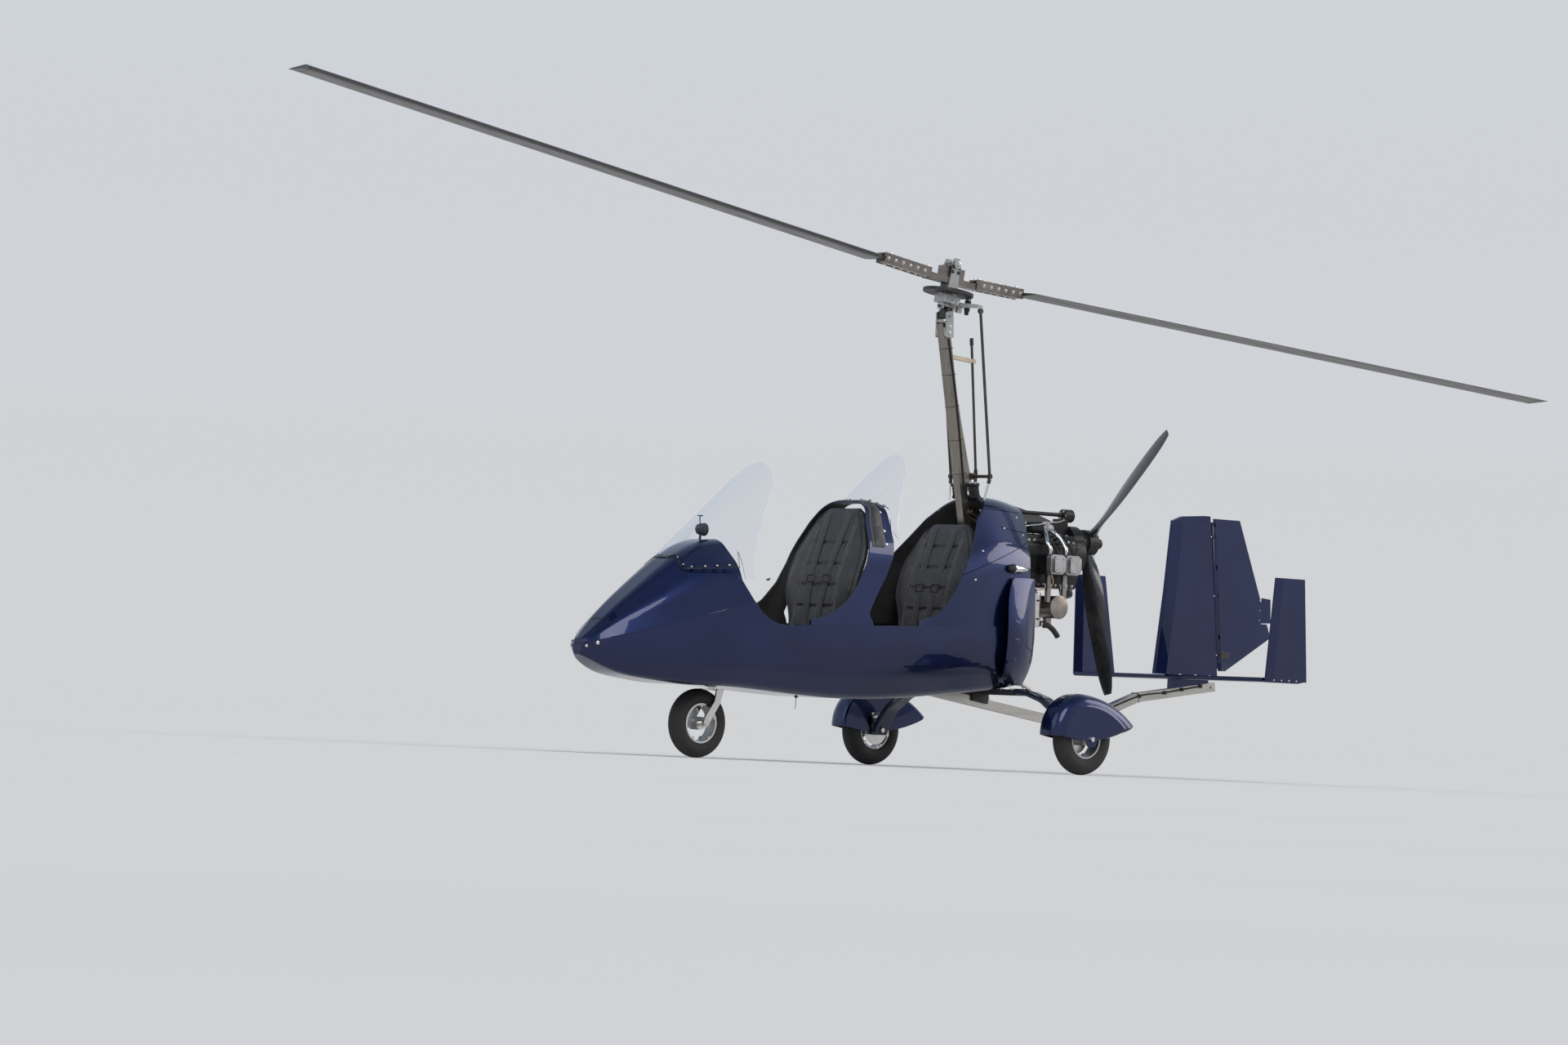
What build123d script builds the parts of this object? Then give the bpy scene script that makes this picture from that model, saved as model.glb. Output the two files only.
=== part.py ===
from build123d import *
import os
from math import cos, hypot, radians, sin, sqrt, tan

# Tandem two-seat open-cockpit gyrocopter. Millimetres, +X to the nose, +Y to port, +Z up.
# The ground is Z = 0, and the origin is on the ground below the rotor.

# Wheels
main_tyre_radius = 192.5
nose_tyre_radius = 182.0
tyre_width = 100.0
rim_radius = 105.0
hub_radius = 34.0
spoke_count = 3
main_axle_x = -300.0
nose_axle_x = 1677.0
half_track = 848.0
axle_radius = 12.5
tow_bore_radius = 7.5
running_gap = 0.05

# Nose leg
steer_x = 1590.0
stem_radius = 17.0
fork_leg_y = 66.0

# Fuselage
skin = 8.0
seam_gap = 1.5
tail_panel_x = -400.0

# Keel and mast
tube_side = 50.0
tube_wall = 3.0
keel_kink_x = -1031.0
keel_kink_z = 266.0
boom_kink_x = -1499.0
boom_kink_z = 439.0
keel_front_x = 330.0
keel_slope = 0.14
boom_end_x = -2085.0
mast_lean = 11.7
mast_foot_x = -352.0
mast_foot_z = 394.0
mast_top_z = 2405.0

# Rotor
rotor_radius = 4200.0
rotor_chord = 200.0
clamp_root = 157.0
clamp_tip = 475.0
shaft_tilt = 8.0
precone = 2.7
rotor_azimuth = -5.8
hub_x = 27.5
hub_z = 2640.0
teeter_height = 84.0
ring_drop = 66.0
ring_radius = 138.0

# Propeller
propeller_x = -1073.0
propeller_z = 1274.0
propeller_radius = 860.0
propeller_phase = 44.7

# Tail
hinge_foot = (-2126.0, 592.0)
hinge_head = (-2027.0, 1476.0)
hinge_radius = 6.0

os.makedirs("parts", exist_ok=True)


def save(builder, name):
    builder.part.label = name
    export_step(builder.part, "parts/" + name + ".step")


def keel_z(x):
    return keel_kink_z + keel_slope * (x - keel_kink_x)


def mast_x(z):
    return mast_foot_x + (z - mast_foot_z) * tan(radians(mast_lean))


def side_run(start, end, y=0):
    """Plane across the line between two side-view points, local x to port, and the line's length."""
    length = hypot(end[0] - start[0], end[1] - start[1])
    along = ((end[0] - start[0]) / length, 0, (end[1] - start[1]) / length)
    return Plane(origin=(start[0], y, start[1]), x_dir=(0, 1, 0), z_dir=along), length


mast_section, mast_length = side_run((mast_x(370), 370), (mast_x(mast_top_z), mast_top_z))
keel_section, keel_length = side_run(
    (keel_front_x, keel_z(keel_front_x)), (keel_kink_x, keel_kink_z)
)


def mirrored(side):
    """Closed outline from the points of its port half, which run upwards."""
    return [*side, *[(-y, z) for y, z in reversed(side)]]


def rounded_section(plane, side, radii):
    """Sketch of a symmetric outline, with a fillet radius for each point of its port half."""
    with BuildSketch(plane) as section:
        with BuildLine():
            Polyline(*mirrored(side), close=True)
        make_face()
        for (y, z), radius in zip(side, radii):
            if radius > 0:
                corners = [v for v in section.vertices() if hypot(abs(v.X) - y, v.Y - z) < 0.01]
                fillet(corners, radius)
    return section.sketch


def arch_side(half, waist, base, shoulder, crown, top_half):
    return [(half, base), (waist, shoulder), (top_half, crown)]


# Tub stations: x, half width at the sill, sill height, belly height, half width of the belly, corner radius
tub_stations = [
    (2512, 34, 572, 508, 20, 8),
    (2470, 92, 590, 487, 58, 20),
    (2380, 146, 614, 446, 92, 34),
    (2240, 200, 644, 411, 124, 46),
    (2050, 252, 676, 391, 158, 60),
    (1800, 304, 702, 381, 196, 72),
    (1442, 352, 716, 372, 232, 80),
    (1000, 368, 734, 349, 246, 80),
    (460, 366, 754, 366, 246, 80),
    (0, 356, 774, 411, 240, 76),
    (-400, 330, 790, 466, 220, 70),
]
# Side view of the tub's upper edge: crease below the hood, drop behind it, then the cockpit sill
crease_nose = (2512, 565)
crease_end = (1600, 828)
rim_line = [
    (2560, 551), crease_nose, crease_end, (1556, 780), (1505, 744), (1450, 722), (1380, 718),
    (1000, 734), (460, 754), (0, 774), (-400, 790), (-460, 792),
]
rim_spare = 40.0


def crease_z(x):
    slope = (crease_end[1] - crease_nose[1]) / (crease_nose[0] - crease_end[0])
    return crease_nose[1] + slope * (crease_nose[0] - x)


def tub_side(half, sill, belly, floor_half, rim, inset=0):
    """Port half of a tub section: belly, bilge, swelling side and rim, moved inwards by inset."""
    depth = sill - belly
    return [
        (floor_half - 0.6 * inset, belly + inset),
        (0.955 * half - inset, belly + 0.36 * depth + 0.35 * inset),
        (half + 0.03 * depth - inset, sill - 0.28 * depth),
        (half - inset, rim + 4 * inset),
    ]


def tub_radii(sill, belly, corner, inset=0):
    depth = sill - belly
    return (corner - 0.75 * inset, 0.45 * depth - inset, 0.9 * depth, 0)


# Outer shapes, used whole to seat other pieces against the skin
with BuildPart() as tub_envelope:
    for x, half, sill, belly, floor_half, corner in tub_stations:
        rim = min(crease_z(x), 860) + rim_spare
        add(
            rounded_section(
                Plane.YZ.offset(x),
                tub_side(half, sill, belly, floor_half, rim),
                tub_radii(sill, belly, corner),
            )
        )
    loft()
    with BuildSketch(Plane.XZ):
        with BuildLine():
            Polyline(*rim_line, (-460, 1000), (2560, 1000), close=True)
        above_rim = make_face()
        fillet(above_rim.vertices().filter_by(lambda v: 1380 < v.X < 1590 and v.Y < 900), 60)
    extrude(amount=600, both=True, mode=Mode.SUBTRACT)

with BuildPart() as fuselage_tub:
    add(tub_envelope.part)
    for x, half, sill, belly, floor_half, corner in tub_stations[1:]:
        inner_x = x + skin if x < tail_panel_x + 1 else x
        rim = min(crease_z(x), 860) + rim_spare
        add(
            rounded_section(
                Plane.YZ.offset(inner_x),
                tub_side(half, sill, belly, floor_half, rim, skin),
                tub_radii(sill, belly, corner, skin),
            )
        )
    loft(ruled=True, mode=Mode.SUBTRACT)
    with BuildSketch(Plane.XZ):
        with BuildLine():
            keel_room = 0.5 * tube_side + 1
            Polyline(
                (-1031, keel_z(-1031) - keel_room),
                (keel_front_x + 1, keel_z(keel_front_x) - keel_room),
                (keel_front_x + 1, keel_z(keel_front_x) + keel_room),
                (-1031, keel_z(-1031) + keel_room),
                close=True,
            )
        make_face()
    extrude(amount=keel_room, both=True, mode=Mode.SUBTRACT)
    with BuildSketch(mast_section):
        Rectangle(tube_side + 2, tube_side + 2)
    extrude(amount=300, mode=Mode.SUBTRACT)
    with BuildSketch(Plane.XY.offset(377)):
        with Locations((steer_x, 0)):
            Circle(34)
    extrude(amount=95)
    with BuildSketch(Plane.XY.offset(340)):
        with Locations((steer_x, 0)):
            Circle(stem_radius + running_gap)
    extrude(amount=160, mode=Mode.SUBTRACT)
save(fuselage_tub, "fuselage_tub")

# Hood stations: x, half width at the crease, shoulder half width and height, crown height and half width
hood_stations = [
    (2500, 47, 36, 590, 597, 16),
    (2440, 112, 86, 630, 653, 38),
    (2308, 173, 140, 716, 773, 62),
    (2134, 230, 190, 812, 910, 84),
    (1921, 279, 236, 930, 1063, 100),
    (1685, 322, 275, 1004, 1150, 120),
    (1442, 352, 304, 1050, 1186, 140),
]


def hood_side(x, half, shoulder_half, shoulder, crown, top_half, inset=0):
    """Port half of a hood section: crease, shoulder and crown, moved inwards by inset."""
    return [
        (half - seam_gap - inset, crease_z(x) - 30 - 5 * inset),
        (half - seam_gap - 2 - inset, crease_z(x) + 8),
        (shoulder_half - 0.9 * inset, shoulder - 0.4 * inset),
        (top_half - 0.4 * inset, crown - inset),
    ]


def hood_radii(x, crown):
    height = crown - crease_z(x)
    return (0, 0.05 * height, 0.6 * height, 0.42 * height)


with BuildPart() as hood_envelope:
    for x, half, shoulder_half, shoulder, crown, top_half in hood_stations:
        add(
            rounded_section(
                Plane.YZ.offset(x),
                hood_side(x, half, shoulder_half, shoulder, crown, top_half),
                hood_radii(x, crown),
            )
        )
    loft()
    with BuildSketch(Plane.XZ):
        with BuildLine():
            Polyline(
                (1690, 1300), (1676, 1100), (1660, 940), (1603, 832), (1540, 770),
                (1300, 700), (1300, 1300), close=True,
            )
        make_face()
    extrude(amount=600, both=True, mode=Mode.SUBTRACT)
    add(tub_envelope.part, mode=Mode.SUBTRACT)

with BuildPart() as hood_hollow:
    for x, half, shoulder_half, shoulder, crown, top_half in hood_stations[1:]:
        add(
            rounded_section(
                Plane.YZ.offset(x),
                hood_side(x, half, shoulder_half, shoulder, crown, top_half, skin),
                hood_radii(x, crown),
            )
        )
    loft(ruled=True)

with BuildPart() as front_hood:
    add(hood_envelope.part)
    add(hood_hollow.part, mode=Mode.SUBTRACT)
save(front_hood, "front_hood")

# Cockpit fairing between the two seats
fairing_arch = (362, 322, 700, 1140, 1405, 160)
fairing_radii = (0, 300, 150)
fairing_side_view = [
    (1226, 700), (1226, 752), (1092, 784), (970, 860), (883, 956), (822, 1070), (790, 1160),
    (755, 1290), (690, 1420), (568, 1420), (586, 1300), (606, 1197), (636, 1108), (684, 1014),
    (740, 929), (790, 848), (811, 800), (790, 760), (770, 700),
]
with BuildPart() as fairing_envelope:
    extrude(
        rounded_section(Plane.YZ.offset(560), arch_side(*fairing_arch), fairing_radii), amount=680
    )
    with BuildSketch(Plane.XZ):
        fairing_edge = Polygon(*fairing_side_view, align=None)
        fillet(fairing_edge.vertices().filter_by(lambda v: 780 < v.Y < 1400 and v.X != 811), 90)
    extrude(amount=600, both=True, mode=Mode.INTERSECT)
    add(tub_envelope.part, mode=Mode.SUBTRACT)

with BuildPart() as mid_fairing:
    add(fairing_envelope.part)
    half, waist, base, shoulder, crown, top_half = fairing_arch
    fairing_hollow = rounded_section(
        Plane.YZ.offset(550),
        arch_side(half - skin, waist - skin, 640, shoulder - 3, crown - skin, top_half - 5),
        [max(radius - skin, 0) for radius in fairing_radii],
    )
    extrude(fairing_hollow, amount=700, mode=Mode.SUBTRACT)
save(mid_fairing, "mid_fairing")

# Engine cowl stations: x, half width, waist, base, shoulder, crown, crown half width, crown radius
cowl_stations = [
    (480, 365, 352, 757, 1000, 1330, 150, 150),
    (200, 361, 350, 768, 1080, 1420, 150, 150),
    (-60, 354, 338, 778, 1140, 1470, 140, 150),
    (-280, 342, 312, 786, 1170, 1478, 120, 140),
    (-392, 331, 288, 791, 1160, 1466, 100, 130),
    (-500, 300, 250, 840, 1180, 1440, 80, 110),
]
cowl_shoulder_radius = 300.0
cowl_gap = 0.3
cowl_side_view = [
    (465, 700), (465, 782), (332, 816), (265, 876), (199, 959), (142, 1054), (81, 1140),
    (0, 1251), (-66, 1351), (-159, 1440), (-230, 1500), (-500, 1500), (-470, 1330),
    (-410, 1230), (-385, 1087), (-385, 941), (-392, 700),
]
with BuildPart() as cowl_envelope:
    for x, half, waist, base, shoulder, crown, top_half, corner in cowl_stations:
        add(
            rounded_section(
                Plane.YZ.offset(x),
                arch_side(half - seam_gap, waist, base - 30, shoulder, crown, top_half),
                (0, cowl_shoulder_radius, corner),
            )
        )
    loft()
    with BuildSketch(Plane.XZ):
        cowl_edge = Polygon(*cowl_side_view, align=None)
        fillet(cowl_edge.vertices().filter_by(lambda v: 800 < v.Y < 1480 and v.X > -460), 110)
    extrude(amount=600, both=True, mode=Mode.INTERSECT)
    add(tub_envelope.part, mode=Mode.SUBTRACT)

for side, name in ((1, "left_engine_cowl"), (-1, "right_engine_cowl")):
    with BuildPart() as engine_cowl:
        add(cowl_envelope.part)
        for x, half, waist, base, shoulder, crown, top_half, corner in cowl_stations:
            reach = {480: 10, -500: -10}.get(x, 0)
            add(
                rounded_section(
                    Plane.YZ.offset(x + reach),
                    arch_side(
                        half - seam_gap - skin, waist - skin, base - 90, shoulder - 3, crown - skin,
                        top_half - 5,
                    ),
                    (0, cowl_shoulder_radius - skin, corner - skin),
                )
            )
        loft(ruled=True, mode=Mode.SUBTRACT)
        with BuildSketch(Plane.XY.offset(600)):
            with Locations((0, side * (300 + 0.5 * cowl_gap))):
                Rectangle(2000, 600)
        extrude(amount=1000, mode=Mode.INTERSECT)
        with BuildSketch(Plane.XY.offset(1380)):
            with Locations((mast_x(1450), 0)):
                Rectangle(150, 120)
        extrude(amount=160, mode=Mode.SUBTRACT)
    save(engine_cowl, name)

# Side air scoop stations: height, lip x, lip y, mid y, rear y
scoop_stations = [
    (466, -236, 292, 290, 262),
    (520, -178, 350, 336, 292),
    (600, -152, 388, 378, 328),
    (700, -146, 403, 396, 340),
    (800, -146, 403, 394, 341),
    (880, -153, 392, 384, 339),
    (960, -174, 374, 368, 334),
    (1046, -222, 346, 344, 328),
]
scoop_rear_x = -396.0
scoop_wall = 7.0
for side, name in ((1, "left_air_scoop"), (-1, "right_air_scoop")):
    with BuildPart() as air_scoop:
        for reach, wall, rear_x, mode in (
            (0.0, 0.0, scoop_rear_x, Mode.ADD),
            (6.0, scoop_wall, scoop_rear_x + 60, Mode.SUBTRACT),
        ):
            for z, lip_x, lip_y, mid_y, rear_y in scoop_stations:
                with BuildSketch(Plane.XY.offset(z)):
                    with BuildLine():
                        lip = (lip_x + reach, side * (lip_y - wall))
                        rear = (rear_x, side * (rear_y - wall))
                        Polyline(rear, (rear_x, side * 240), (lip_x + reach, side * 240), lip)
                        ThreePointArc(
                            lip, (0.5 * (lip_x + scoop_rear_x), side * (mid_y - wall)), rear
                        )
                    make_face()
            loft(ruled=wall > 0, mode=mode)
        add(tub_envelope.part, mode=Mode.SUBTRACT)
        add(cowl_envelope.part, mode=Mode.SUBTRACT)
    save(air_scoop, name)

# Screens: crest line foot and head, bend radius, outline points at the foot, waist, side, shoulder and top
screens = [
    ("front_windscreen", (1905, 1090), (1319, 1582), 330,
     [(332, 890), (283, 1170), (210, 1393), (131, 1512), (0, 1580)],
     [(1960, 980), (1690, 1000), (1681, 1100), (1664, 944), (1500, 944), (1200, 1400),
      (1200, 1700), (1960, 1700)]),
    ("rear_windscreen", (664, 1396), (338, 1694), 300,
     [(286, 1190), (234, 1363), (168, 1520), (97, 1625), (0, 1692)],
     [(700, 1380), (574, 1380), (600, 1260), (560, 1200), (450, 1200), (250, 1500),
      (250, 1800), (700, 1800)]),
]
screen_sheet = 4.0
screen_tip_radius = 110.0
for name, foot, head, bend, outline, keep in screens:
    run = hypot(head[0] - foot[0], head[1] - foot[1])
    crest = Plane(
        origin=(foot[0], 0, foot[1]),
        x_dir=(0, 1, 0),
        z_dir=((head[0] - foot[0]) / run, 0, (head[1] - foot[1]) / run),
    )
    inward = crest.y_dir if crest.y_dir.Z < 0 else -crest.y_dir
    centre = Plane(
        origin=Vector(foot[0], 0, foot[1]) + inward * bend, x_dir=(0, 1, 0), z_dir=crest.z_dir
    )
    with BuildPart() as screen:
        with BuildSketch(centre.offset(-320)):
            Circle(bend)
            Circle(bend - screen_sheet, mode=Mode.SUBTRACT)
        extrude(amount=run + 400)
        with BuildSketch(Plane.YZ.offset(-500)) as front_view:
            with BuildLine():
                for side in (1, -1):
                    foot_end, waist, flank, shoulder, tip = [(side * y, z) for y, z in outline]
                    ThreePointArc(foot_end, waist, flank)
                    ThreePointArc(flank, shoulder, tip)
                Line((-outline[0][0], outline[0][1]), outline[0])
            make_face()
            fillet(front_view.vertices().sort_by(Axis.Y)[-1], screen_tip_radius)
        extrude(amount=3000, mode=Mode.INTERSECT)
        with BuildSketch(Plane.XZ):
            with BuildLine():
                Polyline(*keep, close=True)
            make_face()
        extrude(amount=600, both=True, mode=Mode.INTERSECT)
        seat_on = hood_envelope if name == "front_windscreen" else fairing_envelope
        add(seat_on.part, mode=Mode.SUBTRACT)
    save(screen, name)

# Cockpit furniture. Seats: back foot x, squab front x, floor height, squab thickness, backrest front face,
# outline of the backrest from the front
seat_half = 205.0
back_thickness = 66.0
seats = [
    ("front_seat", 870, 1300, 450, 90, [(950, 560), (872, 1000), (722, 1380)],
     [(214, 440), (214, 760), (300, 900), (302, 1136), (160, 1383)], (0, 60, 60, 250, 120)),
    ("rear_seat", 95, 520, 470, 90, [(165, 580), (85, 1000), (-44, 1335)],
     [(214, 460), (214, 780), (292, 920), (300, 1120), (170, 1338)], (0, 60, 60, 200, 110)),
]
for name, back_x, front_x, floor_z, squab, face_line, outline, radii in seats:
    with BuildPart() as seat:
        with BuildSketch(Plane.XZ):
            with BuildLine():
                (low_x, low_z), (mid_x, mid_z), (top_x, top_z) = face_line
                Polyline(
                    (low_x, low_z),
                    (mid_x, mid_z),
                    (top_x, top_z),
                    (top_x - back_thickness, top_z),
                    (mid_x - back_thickness - 6, mid_z),
                    (back_x, floor_z + 14),
                    (low_x, floor_z + 22),
                    close=True,
                )
            back_view = make_face()
            fillet(back_view.vertices().filter_by(lambda v: v.Y > top_z - 1), 24)
        extrude(amount=360, both=True)
        front_outline = rounded_section(Plane.YZ.offset(back_x - 500), outline, radii)
        extrude(front_outline, amount=1200, mode=Mode.INTERSECT)
        with BuildSketch(Plane.XZ):
            with BuildLine():
                Polyline(
                    (front_x, floor_z + 70),
                    (front_x - 10, floor_z + 70 + squab),
                    (low_x - 6, floor_z + squab + 34),
                    (back_x, floor_z + 10),
                    close=True,
                )
            squab_view = make_face()
            fillet(squab_view.vertices().filter_by(lambda v: v.X > front_x - 20), 24)
        extrude(amount=seat_half, both=True)
        if name == "front_seat":
            add(mid_fairing.part, mode=Mode.SUBTRACT)
    save(seat, name)

with BuildPart() as seat_frame:
    for back_x, front_x, floor_z in ((870, 1300, 450), (95, 520, 470)):
        with BuildSketch(Plane.XZ):
            with BuildLine():
                Polyline(
                    (front_x, floor_z + 69.7),
                    (back_x, floor_z + 9.7),
                    (back_x, floor_z - 40),
                    (front_x, floor_z - 40),
                    close=True,
                )
            make_face()
        extrude(amount=170, both=True)
    with BuildSketch(Plane.XY.offset(368)):
        with Locations((695, 0)):
            Rectangle(1210, 300)
    extrude(amount=62)
    with BuildSketch(Plane.XZ):
        with BuildLine():
            Polyline(
                (0, 300), (340, 300), (340, keel_z(340) + keel_room), (0, keel_z(0) + keel_room),
                close=True,
            )
        make_face()
    extrude(amount=keel_room, both=True, mode=Mode.SUBTRACT)
    add(tub_envelope.part, mode=Mode.INTERSECT)
    add(fuselage_tub.part, mode=Mode.SUBTRACT)
save(seat_frame, "seat_frame")

panel_x = 1706.0
panel_foot_z = 806.0
with BuildPart() as instrument_panel:
    with BuildSketch(Plane.YZ.offset(panel_x)):
        with Locations((0, panel_foot_z + 200)):
            Rectangle(800, 400)
    extrude(amount=12)
    add(hood_hollow.part, mode=Mode.INTERSECT)
    with BuildSketch(Plane.YZ.offset(panel_x - 1)):
        with Locations((-110, 985), (0, 985), (110, 985)):
            Circle(41)
        with Locations((-165, 885), (-75, 885), (75, 885), (165, 885)):
            Circle(29)
    extrude(amount=5)
save(instrument_panel, "instrument_panel")

with BuildPart() as pedals:
    with BuildSketch(Plane.XZ.offset(-218)):
        with Locations((1975, 470)):
            Circle(11)
    extrude(amount=436)
    for side in (1, -1):
        for lane in (78, 176):
            with BuildSketch(Plane.XZ.offset(-side * lane - 35)):
                with BuildLine():
                    Polyline((1966, 470), (1984, 470), (2002, 590), (1986, 592), close=True)
                make_face()
            extrude(amount=70)
    with BuildSketch(Plane.XZ.offset(-20)):
        with BuildLine():
            Polyline((1950, 460), (2000, 460), (2010, 390), (1940, 390), close=True)
        make_face()
    extrude(amount=40)
    add(fuselage_tub.part, mode=Mode.SUBTRACT)
save(pedals, "pedals")

for name, foot_x, foot_z, grip_z in (
    ("front_stick", 1370, 374, 770),
    ("rear_stick", 575, 430.3, 790),
):
    with BuildPart() as stick:
        with BuildSketch(Plane.XY.offset(foot_z)):
            with Locations((foot_x, 0)):
                Circle(34)
        extrude(amount=45)
        with BuildSketch(Plane.XY.offset(foot_z + 40)):
            with Locations((foot_x, 0)):
                Circle(11)
        extrude(amount=grip_z - foot_z - 40)
        with BuildSketch(Plane.XY.offset(grip_z - 4)):
            with Locations((foot_x, 0)):
                Ellipse(21, 17)
        extrude(amount=125, taper=2)
        fillet(stick.faces().sort_by(Axis.Z)[-1].edges(), 7)
        add(fuselage_tub.part, mode=Mode.SUBTRACT)
    save(stick, name)

# Keel, boom and mast are square steel tube
tail_bore_radius = 6.0
tube_bore = tube_side - 2 * tube_wall
with BuildPart() as keel_tube:
    with BuildSketch(keel_section):
        Rectangle(tube_side, tube_side)
        Rectangle(tube_bore, tube_bore, mode=Mode.SUBTRACT)
    extrude(amount=keel_length)
save(keel_tube, "keel_tube")

boom_end_z = boom_kink_z + keel_slope * (boom_kink_x - boom_end_x)
with BuildPart() as tail_boom:
    for start, end in (
        ((keel_kink_x, keel_kink_z), (boom_kink_x, boom_kink_z)),
        ((boom_kink_x, boom_kink_z), (boom_end_x, boom_end_z)),
    ):
        run_plane, run_length = side_run(start, end)
        with BuildSketch(run_plane.offset(-4)):
            Rectangle(tube_side, tube_side)
        extrude(amount=run_length + 8)
    for start, end in (
        ((keel_kink_x - 30, keel_kink_z + 11), (boom_kink_x, boom_kink_z)),
        ((boom_kink_x + 10, boom_kink_z - 3), (boom_end_x + 60, boom_end_z - 8.4)),
    ):
        run_plane, run_length = side_run(start, end)
        with BuildSketch(run_plane):
            Rectangle(tube_bore, tube_bore)
        extrude(amount=run_length, mode=Mode.SUBTRACT)
    with BuildSketch(Plane.XZ):
        with Locations((boom_end_x + 32, boom_end_z - 4)):
            Circle(tail_bore_radius)
    extrude(amount=60, both=True, mode=Mode.SUBTRACT)
    with BuildSketch(keel_section):
        Rectangle(tube_side + 1, tube_side + 1)
    extrude(amount=keel_length, mode=Mode.SUBTRACT)
save(tail_boom, "tail_boom")

strut_section, strut_length = side_run((-566, 512), (-935, 325))
strut_radius = 12.0
with BuildPart() as boom_strut:
    with BuildSketch(strut_section):
        Circle(strut_radius)
    extrude(amount=strut_length)
    with BuildSketch(keel_section):
        Rectangle(tube_side, tube_side)
    extrude(amount=keel_length + 20, mode=Mode.SUBTRACT)
save(boom_strut, "boom_strut")

with BuildPart() as mast:
    with BuildSketch(mast_section):
        Rectangle(tube_side, tube_side)
        Rectangle(tube_bore, tube_bore, mode=Mode.SUBTRACT)
    extrude(amount=mast_length)
    with BuildSketch(Plane.XZ):
        with BuildLine():
            Polyline(
                (mast_x(2120) - 24, 2120),
                (mast_x(1900) - 24, 1900),
                (mast_x(1520) - 24, 1520),
                (mast_x(1520) - 74, 1510),
                (mast_x(1900) - 38, 1900),
                close=True,
            )
        make_face()
    extrude(amount=20, both=True)
    with BuildSketch(keel_section):
        Rectangle(tube_side, tube_side)
    extrude(amount=keel_length, mode=Mode.SUBTRACT)
save(mast, "mast")

# Engine: plain block with four cylinders and a gearbox, and what shows round it
engine_front_x = -490.0
gearbox_face_x = -974.0
propeller_shaft_radius = 30.0
cylinder_z = 1136.0
cylinder_stations = [(-622, 1), (-738, 1), (-640, -1), (-756, -1)]
fin_count = 6
with BuildPart() as engine_block:
    with BuildSketch(Plane.YZ.offset(-880)):
        with BuildLine():
            Polyline(
                (-130, 1010), (130, 1010), (150, 1080), (150, 1240), (110, 1300),
                (-110, 1300), (-150, 1240), (-150, 1080), close=True,
            )
        block = make_face()
        fillet(block.vertices(), 18)
    extrude(amount=engine_front_x + 880)
    with BuildSketch(Plane.YZ.offset(-880)):
        with Locations((0, 1200)):
            Circle(118)
    extrude(amount=-90)
    with BuildSketch(Plane.YZ.offset(gearbox_face_x)):
        with Locations((0, propeller_z)):
            Circle(86)
    extrude(amount=70)
    for x, side in cylinder_stations:
        with BuildSketch(Plane.XZ.offset(-side * 140)):
            with Locations((x, cylinder_z)):
                Circle(44)
        extrude(amount=-side * 105)
        for step in range(fin_count):
            with BuildSketch(Plane.XZ.offset(-side * (160 + 11 * step))):
                with Locations((x, cylinder_z)):
                    RectangleRounded(108, 112, 14)
            extrude(amount=-side * 4)
        with BuildSketch(Plane.XZ.offset(-side * 226)):
            with Locations((x, cylinder_z)):
                RectangleRounded(104, 106, 20)
        extrude(amount=-side * 34)
        with BuildSketch(Plane.XZ.offset(-side * 259)):
            with Locations((x, cylinder_z)):
                RectangleRounded(88, 92, 18)
        extrude(amount=-side * 24, taper=8)
    with BuildSketch(Plane.YZ.offset(gearbox_face_x - 1)):
        with Locations((0, propeller_z)):
            Circle(propeller_shaft_radius + running_gap)
    extrude(amount=61, mode=Mode.SUBTRACT)
save(engine_block, "engine_block")

with BuildPart() as engine_mount:
    with BuildSketch(Plane.YZ.offset(engine_front_x + 0.3)):
        with Locations((0, 1165)):
            Rectangle(250, 260)
            Rectangle(190, 200, mode=Mode.SUBTRACT)
    extrude(amount=30)
    for side in (1, -1):
        for start, end in (((-470, 1280), (-170, 1400)), ((-470, 1050), (-260, 760))):
            run_plane, run_length = side_run(start, end, side * 36)
            with BuildSketch(run_plane):
                Circle(12)
            extrude(amount=run_length)
        with BuildSketch(Plane.XZ.offset(-side * 36 + 12)):
            with BuildLine():
                Polyline((-484, 1040), (-462, 1040), (-548, 890), (-588, 890), close=True)
            make_face()
        extrude(amount=-24)
    with BuildSketch(Plane.XZ):
        with BuildLine():
            Polyline((-552, 910), (-590, 895), (-586, 500), (-548, 500), close=True)
        make_face()
    extrude(amount=48, both=True)
    with BuildSketch(strut_section.offset(-40)):
        Circle(strut_radius)
    extrude(amount=strut_length, mode=Mode.SUBTRACT)
    with BuildSketch(mast_section):
        Rectangle(tube_side, tube_side)
    extrude(amount=mast_length, mode=Mode.SUBTRACT)
    add(engine_block.part, mode=Mode.SUBTRACT)
save(engine_mount, "engine_mount")

with BuildPart() as drive_pulley:
    with BuildSketch(Plane.YZ.offset(-945)):
        with Locations((0, 1415)):
            Circle(36)
    extrude(amount=60)
    with BuildSketch(Plane.YZ.offset(-900)):
        with Locations((0, 1340)):
            Rectangle(60, 110)
    extrude(amount=60)
    with BuildSketch(Plane.YZ.offset(-886)):
        with Locations((0, 1418)):
            Circle(11)
    extrude(amount=330)
    add(engine_block.part, mode=Mode.SUBTRACT)
save(drive_pulley, "drive_pulley")

with BuildPart() as exhaust:
    with BuildSketch(Plane.XZ.offset(-215)):
        with Locations((-690, 905)):
            Circle(62)
    extrude(amount=430)
    for x, side in cylinder_stations:
        with BuildSketch(Plane.XY.offset(930)):
            with Locations((x, side * 190)):
                Circle(17)
        extrude(amount=160)
    with BuildSketch(Plane.XY.offset(790)):
        with Locations((-690, 120)):
            Circle(24)
    extrude(amount=100)
    add(engine_block.part, mode=Mode.SUBTRACT)
save(exhaust, "exhaust")

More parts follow.
